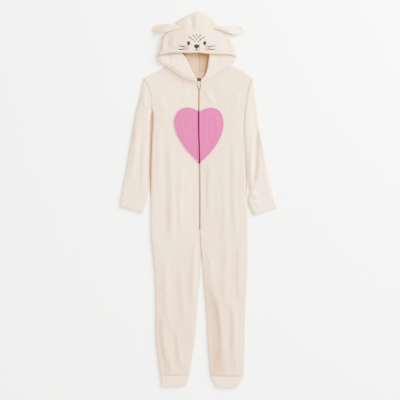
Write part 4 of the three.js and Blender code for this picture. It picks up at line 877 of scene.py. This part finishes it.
crownOf, flapOf = {}, {}
for half in bothHalves:
    side, outline = half["side"], half["hoodOutline"]
    root, corner = half["earRoot"], half["browCorner"]
    overTop = smoothCurve(outline[root:][::-1])
    beside = lambda points, share: points + np.stack([side * laid["seamGap"] / 2 * share, 0 * share], -1)
    top = lambda u: beside(overTop(u), 1 - u)

    def centre(fromY):
        def at(v):
            y = mix(fromY, hoodPeak[1], v)
            return np.stack([seamX(y) + side * laid["seamGap"] / 2, y], -1)
        return at
    backNeck = smoothCurve(half["backNeck"])
    raised = np.array([0, hoodSizes["neckGap"]])
    u, v = hoodGrid(hoodSizes["backRows"], 1)
    plan = patch(centre(half["backNeck"][0][1] + hoodSizes["neckGap"]), smoothCurve(outline[:root + 1]),
                 lambda u: beside(backNeck(u), 1 - u) + raised, top, u, v)
    plan = relaxed(plan, np.array(outline[root]), 16)
    d = distanceTo([chainOf(outline)], plan)
    z = (laid["hoodRim"] + laid["hoodOverlap"]) * (1 - turned(d, laid["hoodRadius"]))
    x, y = plan[..., 0], plan[..., 1]   # painted shade, darker on the side away from the light
    nest = np.interp(x, (-14, -5, 2, 40), (0, 0.15, 0.65, 0.95)) + 0.05 * ease((y - 535) / 40)
    bm = gridPiece(withHeights(plan, z), nest=np.clip(nest * ease((600 - y) / 20), 0, 1))
    hoodBack = finishPiece("hoodBack" + half["name"], bm, "hood_" + half["node"],
                           [backFleece, shadedInsideFleece], wall=laid["wall"], up=-1)

    brim = smoothCurve(half["brim"])
    height = crownOf[half["name"]] = crownSurface(half)
    u, v = hoodGrid(hoodSizes["crownRows"], 1)
    plan = patch(centre(half["brim"][0][1]), smoothCurve([half["brim"][-1]] + outline[corner:root + 1]),
                 lambda u: beside(brim(u), 1 - u), top, u, v)
    plan = relaxed(plan, np.array(outline[root]), 16)
    # painted shade along the outline and under the brim, heavier on the left half, away from the light
    nest = half["rimShade"] * np.exp(-distanceTo([chainOf(half["hoodOutline"])], plan) / 7)
    nest = np.maximum(nest, 0.35 * np.exp(-distanceTo([chainOf(half["brim"])], plan) / 1.8))
    base = np.interp(plan[..., 0], (-150, -60, -25, 30), (0.42, 0.42, 0.12, 0.04))
    nest = np.clip(base + (1 - base) * nest + foldsAt(earRootShade, plan[..., 0], plan[..., 1]), 0, 1)
    bm = gridPiece(withHeights(plan, height(plan[..., 0], plan[..., 1])), nest=nest)
    crown = finishPiece("hoodCrown" + half["name"], bm, "hood_" + half["node"],
                        [crownFleece, shadedInsideFleece], wall=laid["wall"], up=1)

    frontNeck = smoothCurve(half["frontNeck"])
    height = flapOf[half["name"]] = flapSurface(half)
    u, v = hoodGrid(hoodSizes["flapRows"], 0)
    plan = patch(smoothCurve([np.array(half["frontNeck"][0]) + raised] + half["vEdge"]),
                 smoothCurve(outline[:corner + 1]), lambda u: frontNeck(u) + raised,
                 straight(half["vEdge"][-1], outline[corner]), u, v)
    # painted shade under the brim, strongest towards its ends, and along the neck seam
    underBrim = distanceTo([chainOf(half["brim"])], plan)
    fromNeck = distanceTo([chainOf(half["frontNeck"])], plan)
    cornerShade = np.interp(np.abs(plan[..., 0]), (50, 70, 95, 120, 140), (0.1, 0.25, 0.65, 0.95, 0.8))
    nest = np.exp(-(underBrim / 9) ** 1.4) * cornerShade + 0.4 * np.exp(-fromNeck / 2.5)
    nest = half["napAndShade"]["flap"] + nest
    bm = gridPiece(withHeights(plan, height(plan[..., 0], plan[..., 1])), nest=np.clip(nest, 0, 1))
    flap = finishPiece("hoodFlap" + half["name"], bm, "hood_" + half["node"],
                       [creamFleece, shadedInsideFleece], wall=laid["wall"], up=1)
print("hood laid")

# ears
earSizes = dict(thickness=8, lift=0.8, fall=46, around=28, rows=64)


def roundEnd(distance):   # brings an ear's end to a blunt point
    return np.sqrt(np.clip(1 - np.exp(-distance / 3), 0, 1))


def outlineX(outline, side, y):   # how far out an outline lies at a height y
    crossings = (side * mix(a[0], b[0], (y - a[1]) / (b[1] - a[1] + 1e-9))
                 for a, b in zip(outline[:-1], outline[1:]) if (a[1] - y) * (b[1] - y) <= 0)
    return max(crossings, default=-1e9)


for half in bothHalves:
    outline = chainOf(half["hoodOutline"])
    crown = crownOf[half["name"]]
    table = np.array(half["ear"])
    run = np.concatenate([[0], np.cumsum(np.hypot(*np.diff(table[:, :2], axis=0).T))])
    s = np.linspace(0, run[-1], earSizes["rows"])
    line = smoothCurve(half["ear"])(s / run[-1])
    across = np.gradient(line, axis=0)
    across = np.stack([-across[:, 1], across[:, 0]], -1) / np.hypot(*across.T)[:, None]
    wide = np.interp(s, run, table[:, 2]) * roundEnd(s) * roundEnd(run[-1] - s)
    thick = np.interp(s, run, table[:, 3]) * earSizes["thickness"]
    angle = np.linspace(0, 2 * math.pi, earSizes["around"] + 1)
    reach = wide[:, None] * np.cos(angle)
    xy = line[:, None] + across[:, None] * reach[..., None]
    x, y = xy[..., 0], xy[..., 1]
    d = distanceTo([outline], xy)
    edgeX = np.array([outlineX(outline, half["side"], level) for level in y.ravel()]).reshape(y.shape)
    inside = half["side"] * x < edgeX
    overEdge = laid["hoodRim"] + (laid["brimHeight"] - laid["hoodRim"]) * hoodShare(half, y)
    rest = np.where(inside, np.maximum(overEdge, crown(x, y)) + earSizes["lift"],
                    (overEdge + earSizes["lift"]) * (1 - ease(d / earSizes["fall"])))
    swell = np.abs(np.sin(angle)) ** 0.7
    lens = np.where(np.sin(angle) >= 0, mix(0.4, 1, swell), mix(0.4, 0, swell))
    z = rest + thick[:, None] * lens
    dent = bump(reach - 2, 6) * ease((s - 20) / 30)[:, None]
    z += np.where(np.sin(angle) > 0, 1, 0) * (0.5 * softNoise(x, y, 14, 10, 41) - dent)
    # painted shade, even over the ear
    bm = gridPiece(withHeights(xy, z), ring=True, nest=half["napAndShade"]["ear"])
    ends = [e for e in bm.edges if e.is_boundary]
    bmesh.ops.holes_fill(bm, edges=ends, sides=0)
    bmesh.ops.recalc_face_normals(bm, faces=bm.faces)
    ear = finishPiece("ear" + half["name"], bm, "ear_" + half["node"], [creamFleece])
print("ears sewn on")

# heart
heartSizes = dict(columns=40, rows=64, lift=0.5, thickness=2.2, notch=337, overEdge=1.3,
                  stitchInset=5.2, border=2.3, borderGap=1.05, borderTilt=0.48, borderLift=1.9)
heartEdge = {}
heartCreases = [(-70, 330, -58, 250, 6, 0.8, 3), (-66, 268, -12, 262, 6, -0.7, 2),
                (-34, 230, -52, 196, 5, 0.6, 0),
                (64, 330, 66, 240, 6, 0.8, -3), (34, 310, 42, 220, 6, -0.7, 2), (74, 250, 52, 200, 5, 0.8, 2)]
for half in bothHalves:
    side, height = half["side"], frontOf[half["name"]]
    tip, notch = half["heartSide"][0], heartSizes["notch"]
    zipSide = lambda y: centreX(y) + side * (zipSizes["halfGap"] - heartSizes["overEdge"])
    u, v = np.meshgrid(spread(heartSizes["columns"], 90, 0.6, 0.8), spread(heartSizes["rows"], 210, 0.4, 0.6))
    tipX = float(zipSide(np.float64(tip[1])))
    whole = smoothCurve(half["heartSide"] + half["heartLobe"][-2::-1]
                        + [(float(zipSide(np.float64(notch))), notch)])
    sideShare = smoothCurve(half["heartSide"]).length / whole.length
    outlineSide, lobe = (lambda t: whole(sideShare * t)), (lambda t: whole(1 - (1 - sideShare) * t))
    plan = patch(lambda v: np.stack([zipSide(mix(tip[1], notch, v)), mix(tip[1], notch, v)], -1), outlineSide,
                 lambda u: np.stack([mix(tipX, tip[0], u), np.full_like(u, tip[1])], -1), lobe, u, v)
    x, y = plan[..., 0], plan[..., 1]
    fromEdge = distanceTo([outlineSide(np.linspace(0, 1, 80)), lobe(np.linspace(0, 1, 60))], plan)
    fromZip = np.abs(x - zipSide(y))
    under = height(np.where(fromZip < 2.5, zipSide(y) + side * 2.5, x), y)
    z = under + heartSizes["lift"] + heartSizes["thickness"]
    z -= 1.4 * (1 - turned(fromEdge, 2.2)) + 3.2 * (1 - turned(fromZip, 1.8)) - 0.4 * bump(fromZip - 4, 2)
    z -= 0.6 * bump(fromEdge - heartSizes["stitchInset"], 1.2)
    z += ease(fromEdge / 12) * (foldsAt(heartCreases, x, y) + 0.3 * softNoise(x, y, 22, 30, 51))
    z = np.where(fromZip < 2.5, z, np.maximum(z, under + 0.7))
    # painted shade beside the zip and along the stitch line
    nest = 0.9 * np.exp(-fromZip / 1.7) + 0.3 * bump(fromEdge - heartSizes["stitchInset"], 0.8)
    bm = gridPiece(withHeights(plan, z), nest=np.clip(nest, 0, 1))
    heart = finishPiece("heart" + half["name"], bm, "heart_" + half["node"],
                        [pinkFleece], wall=1.2, up=1)
    edgeLine = np.concatenate([outlineSide(np.linspace(0, 1, 240)), lobe(np.linspace(1, 0, 120))[1:]])
    heartEdge[half["name"]] = (plan, z, fromEdge, edgeLine)
print("heart sewn on")

# zip
tapeSizes = dict(reach=11, bottom=4.6, thickness=0.8)
coilSizes = dict(pitch=1.9, turn=(1.9, 0.62, 0.95), aside=1.0, height=6.2)


def threadTurn(bm, place, size):   # one closed turn of thread
    made = bmesh.ops.create_icosphere(bm, subdivisions=1, radius=1)["verts"]
    bmesh.ops.transform(bm, matrix=Matrix.Scale(mm, 4) @ place @ Matrix.Diagonal((*size, 1)), verts=made)
    return made


def inHeart(y):   # painted pink reflection and shade from the heart around the zip
    return ease((y - 136) / 6) * ease((350 - y) / 6)


for half in bothHalves:
    side = half["side"]
    y = np.linspace(zipSizes["end"], zipSizes["top"], 140)
    xs = np.linspace(laid["seamGap"] / 2, tapeSizes["reach"], 6)
    plan = np.stack([centreX(y)[:, None] + side * xs[None], np.repeat(y[:, None], 6, 1)], -1)
    z = np.full(plan.shape[:2], tapeSizes["bottom"] + tapeSizes["thickness"])
    bm = gridPiece(withHeights(plan, z), nest=inHeart(plan[..., 1]))
    tape = finishPiece("zipTape" + half["name"], bm, "zip_" + half["node"],
                       [shadedZipCloth], wall=tapeSizes["thickness"], up=1)
    bm = bmesh.new()
    layer = bm.verts.layers.float.new("nest")
    for k in range(int((zipSizes["top"] - 10 - zipSizes["end"]) / coilSizes["pitch"])):
        ty = zipSizes["end"] + (k + 0.5 + 0.25 * side) * coilSizes["pitch"]
        tx = float(centreX(np.float64(ty))) + side * coilSizes["aside"]
        place = Matrix.Translation((tx, ty, coilSizes["height"]))
        for v in threadTurn(bm, place, coilSizes["turn"]):
            v[layer] = float(inHeart(ty))
    coil = finishPiece("zipCoil" + half["name"], bm, "zip_" + half["node"], [shadedZipCloth])

# stitching
stitchSizes = dict(length=2.7, gap=1.3, radius=0.3)


def sewLine(bm, points, length, gap, radius):   # short threads laid end to end along a line
    points = np.asarray(points, float)
    run = np.concatenate([[0], np.cumsum(np.linalg.norm(np.diff(points, axis=0), axis=1))])
    at = lambda t: np.array([np.interp(t, run, points[:, k]) for k in range(3)])
    for k in range(int((run[-1] - gap) / (length + gap))):
        a, b = at(gap + k * (length + gap)), at(gap + k * (length + gap) + length)
        middle, way = Vector((a + b) / 2), Vector(b - a)
        place = Matrix.Translation(middle) @ way.to_track_quat("Z", "Y").to_matrix().to_4x4()
        threadTurn(bm, place, (radius * 1.15, radius, way.length / 2))


def onTop(height, xy):
    xy = np.asarray(xy, float)
    return np.concatenate([xy, (height(xy[:, 0], xy[:, 1]) + threadLift)[:, None]], -1)


def inset(chain, by):   # the same line moved sideways
    way = np.gradient(chain, axis=0)
    return chain + np.stack([way[:, 1], -way[:, 0]], -1) / np.hypot(*way.T)[:, None] * by


for half in bothHalves:
    side, height = half["side"], frontOf[half["name"]]
    bm = bmesh.new()
    y = np.linspace(zipSizes["end"] + 2, 440, 300)
    x = centreX(y) + side * (halfOpening(y) + frontSizes["facing"])
    clear = (y < 137) | (y > 347)
    for part in (clear & (y < 200), clear & (y > 200)):
        sewLine(bm, onTop(height, np.stack([x[part], y[part]], -1)), **stitchSizes)
    neck = inset(chainOf(half["frontNeck"]), side * 5.5)
    sewLine(bm, onTop(height, neck[3:-6]), **stitchSizes)
    finishPiece("frontStitches" + half["name"], bm, "front_" + half["node"], [creamThread])

    bm = bmesh.new()
    crown, flap = crownOf[half["name"]], flapOf[half["name"]]
    brimLine = inset(chainOf(half["brim"]), -side * hoodSizes["brimHem"])
    sewLine(bm, onTop(crown, brimLine[1:-5]), **stitchSizes)
    vLine = inset(chainOf(half["vEdge"]), side * hoodSizes["brimHem"])
    vLine = vLine[(vLine[:, 1] < 552) & (vLine[:, 1] > 466)]
    sewLine(bm, onTop(flap, vLine), **stitchSizes)
    finishPiece("hoodStitches" + half["name"], bm, "hood_" + half["node"], [creamThread])

    plan, z, fromEdge, outline = heartEdge[half["name"]]
    bm = bmesh.new()
    border = []
    for k in range(plan.shape[0]):   # up the side, then round the lobe
        outer = np.arange(plan.shape[1]) > plan.shape[1] // 3
        j = np.nonzero((fromEdge[k] < heartSizes["stitchInset"]) & outer)[0]
        if len(j) and k > 3 and k < plan.shape[0] - 8:
            j = j[0]
            border.append((*plan[k, j], z[k, j] + threadLift))
    sewLine(bm, border, **stitchSizes)
    lobeRow = []
    for k in range(3, plan.shape[1] - 3):
        i = np.nonzero(fromEdge[:, k] < heartSizes["stitchInset"])[0]
        i = i[i > plan.shape[0] // 2]
        if len(i):
            lobeRow.append((*plan[i[0], k], z[i[0], k] + threadLift))
    sewLine(bm, lobeRow, **stitchSizes)
    finishPiece("heartStitches" + half["name"], bm, "heart_" + half["node"], [pinkThread])

    bm = bmesh.new()   # satin border, one thread beside the next
    run = np.concatenate([[0], np.cumsum(np.hypot(*np.diff(outline, axis=0).T))])
    way = np.gradient(outline, axis=0)
    base = height(outline[:, 0], outline[:, 1])
    for t in np.arange(2, run[-1] - 2, heartSizes["borderGap"]):
        x, y, dx, dy, low = (np.interp(t, run, column) for column in (*outline.T, *way.T, base))
        place = Matrix.Translation((x, y, low + heartSizes["borderLift"]))
        place = place @ Matrix.Rotation(math.atan2(dy, dx), 4, "Z")
        place = place @ Matrix.Rotation(side * heartSizes["borderTilt"], 4, "X")
        threadTurn(bm, place, (0.62, heartSizes["border"], 0.55))
    finishPiece("heartBorder" + half["name"], bm, "heart_" + half["node"], [paleThread])

for half, hemRow in hemRows:
    bm = bmesh.new()
    sewLine(bm, hemRow, **stitchSizes)
    finishPiece("sleeveStitches" + half["name"], bm, "sleeve_" + half["node"], [creamThread])
print("stitching done")

# plain woven label at the back of the neck
labelSizes = dict(width=16, fromY=456, toY=468, level=3.3, curl=0.5, thickness=0.8)
u, v = np.meshgrid(np.linspace(-1, 1, 25), np.linspace(0, 1, 15))
x, y = u * labelSizes["width"] / 2, mix(labelSizes["fromY"], labelSizes["toY"], v)
z = labelSizes["level"] + labelSizes["curl"] * (1 - v) * np.abs(u) ** 3 + 0.1 * softNoise(x, y, 5, 5, 61)
label = finishPiece("neckLabel", gridPiece(np.stack([x, y, z], -1)), "neck_label", [darkWeave],
                    wall=labelSizes["thickness"], up=1)
bm = bmesh.new()
sewLine(bm, np.stack([x[-2], y[-2], z[-2] + 0.1], -1)[1:-1], length=1.3, gap=0.7, radius=0.14)
labelThread = finishPiece("labelStitches", bm, "neck_label", [darkThread])
print("label sewn in")

# animal face, embroidered on the brim
def brow(x, y):   # the crown across its centre seam, read without the seam's dip
    left, right = crownOf["Left"], crownOf["Right"]
    share = ease((x - seamX(y) + 1.5) / 3)
    return mix(left(np.minimum(x, seamX(y) - 0.2), y), right(np.maximum(x, seamX(y) + 0.2), y), share)


def satinPad(bm, place, raised, detail):   # closed pad of thread; place turns a round pad into x and y
    made = bmesh.ops.create_icosphere(bm, subdivisions=detail, radius=1)["verts"]
    unit = np.array([v.co for v in made])
    x, y = place(unit[:, 0], unit[:, 1])
    z = brow(x, y) + 0.1 + (0.6 + raised) * np.sqrt(np.maximum(0, unit[:, 2]))
    for v, point in zip(made, np.stack([x, y, z], -1)):
        v.co = Vector(point) * mm


def embroideredSpot(bm, centre, across, tall, turn=0, raised=0.5, taper=0, detail=3):
    def place(u, v):
        u, v = across * u * (1 + taper * v), tall * v
        cos, sin = math.cos(turn), math.sin(turn)
        return centre[0] + u * cos - v * sin, centre[1] + u * sin + v * cos
    satinPad(bm, place, raised, detail)


def embroideredLine(bm, line, half, raised=0.4):
    curve = smoothCurve(line)

    def place(u, v):
        at, way = curve((u + 1) / 2), curve((u + 1) / 2 + 0.02) - curve((u + 1) / 2 - 0.02)
        way /= np.hypot(*way.T)[:, None]
        wide = half * v / np.sqrt(np.maximum(0.02, 1 - u * u)) * (1 - u * u) ** 0.35
        return at[:, 0] - way[:, 1] * wide, at[:, 1] + way[:, 0] * wide
    satinPad(bm, place, raised, 3)


f = faceSizes
bm = bmesh.new()
for way in (-1, 1):
    embroideredSpot(bm, (f["x"] + way * f["eyeX"], f["eyeY"]), 6.8, 9.0, turn=-way * 0.1)
    for rise, tipY in ((3.5, 588), (-3.5, 575.5)):
        start = (f["x"] + way * (f["cheekX"] + 3), f["cheekY"] + rise)
        end = (f["x"] + way * (f["cheekX"] + 33), tipY)
        middle = ((start[0] + end[0]) / 2, (start[1] + end[1]) / 2 + rise * 0.35)
        embroideredLine(bm, [start, middle, end] if way > 0 else [end, middle, start], 2.7)
embroideredSpot(bm, (f["x"], f["noseY"]), 11.2, 9.2, taper=0.22, raised=0.8)
embroideredLine(bm, [(f["x"], f["noseY"] - 12), (f["x"], f["noseY"] - 6)], 2.3)
for way in (-1, 1):
    curl = [(f["x"], f["noseY"] - 11.5), (f["x"] + way * 4.5, f["noseY"] - 15),
            (f["x"] + way * 9.5, f["noseY"] - 12.5)]
    embroideredLine(bm, curl, 2.4)
for row, (count, y) in enumerate(((5, 631), (4, 623), (3, 615), (2, 607))):   # even rows of forehead marks
    for k in range(count):
        aside = (k - (count - 1) / 2) * 14
        spot = (f["x"] + aside, y - 0.012 * aside ** 2)
        embroideredSpot(bm, spot, 3.2, 4.3, turn=-aside * 0.012, raised=0.3, detail=2)
finishPiece("faceEmbroidery", bm, None, [inkThread])
print("face embroidered")

for name in ("zip_slider", "zip_pull"):
    metalPart = bpy.data.objects[name]
    for holder in metalPart.material_slots:
        holder.material = paleMetal
print("zip set in")

# floor, lights and camera
studio = dict(width=1.54, centre=(0.0046, -0.0019), height=5.0, floorHalf=6, floorDrop=0.0003)
bm = bmesh.new()
bmesh.ops.create_grid(bm, x_segments=1, y_segments=1, size=studio["floorHalf"])
bmesh.ops.translate(bm, vec=(0, 0, -studio["floorDrop"]), verts=bm.verts)
floorMesh = bpy.data.meshes.new("floor")
bm.to_mesh(floorMesh)
bm.free()
floor = addObject("floor", floorMesh)
floorMaterial = bpy.data.materials.new("paleFloor")
tree, shader = nodesOf(floorMaterial)
shader.inputs["Base Color"].default_value = (0.97, 0.945, 0.90, 1)
shader.inputs["Roughness"].default_value = 0.9
floorMesh.materials.append(floorMaterial)


def areaLight(name, place, target, size, power, colour=(1, 1, 1)):
    data = bpy.data.lights.new(name, "AREA")
    data.size, data.energy, data.color = size, power, colour
    lamp = addObject(name, data)
    aim = Vector(target) - Vector(place)
    lamp.matrix_world = Matrix.Translation(place) @ aim.to_track_quat("-Z", "Y").to_matrix().to_4x4()


areaLight("keyLight", (3.2, 2.4, 2.3), (0, 0, 0), 2.6, 2080)
areaLight("fillLight", (-1.5, -1.5, 3.6), (0, -0.1, 0), 3.0, 260)
world = bpy.data.worlds.new("studioWorld")
bpy.context.scene.world = world
world.use_nodes = True
world.node_tree.nodes["Background"].inputs["Color"].default_value = (1, 1, 1, 1)
world.node_tree.nodes["Background"].inputs["Strength"].default_value = 1.8

cameraData = bpy.data.cameras.new("camera")
cameraData.sensor_width = 36
cameraData.lens = 36 * studio["height"] / studio["width"]
camera = addObject("camera", cameraData)
camera.location = (*studio["centre"], studio["height"])
bpy.context.scene.camera = camera
print("studio ready")
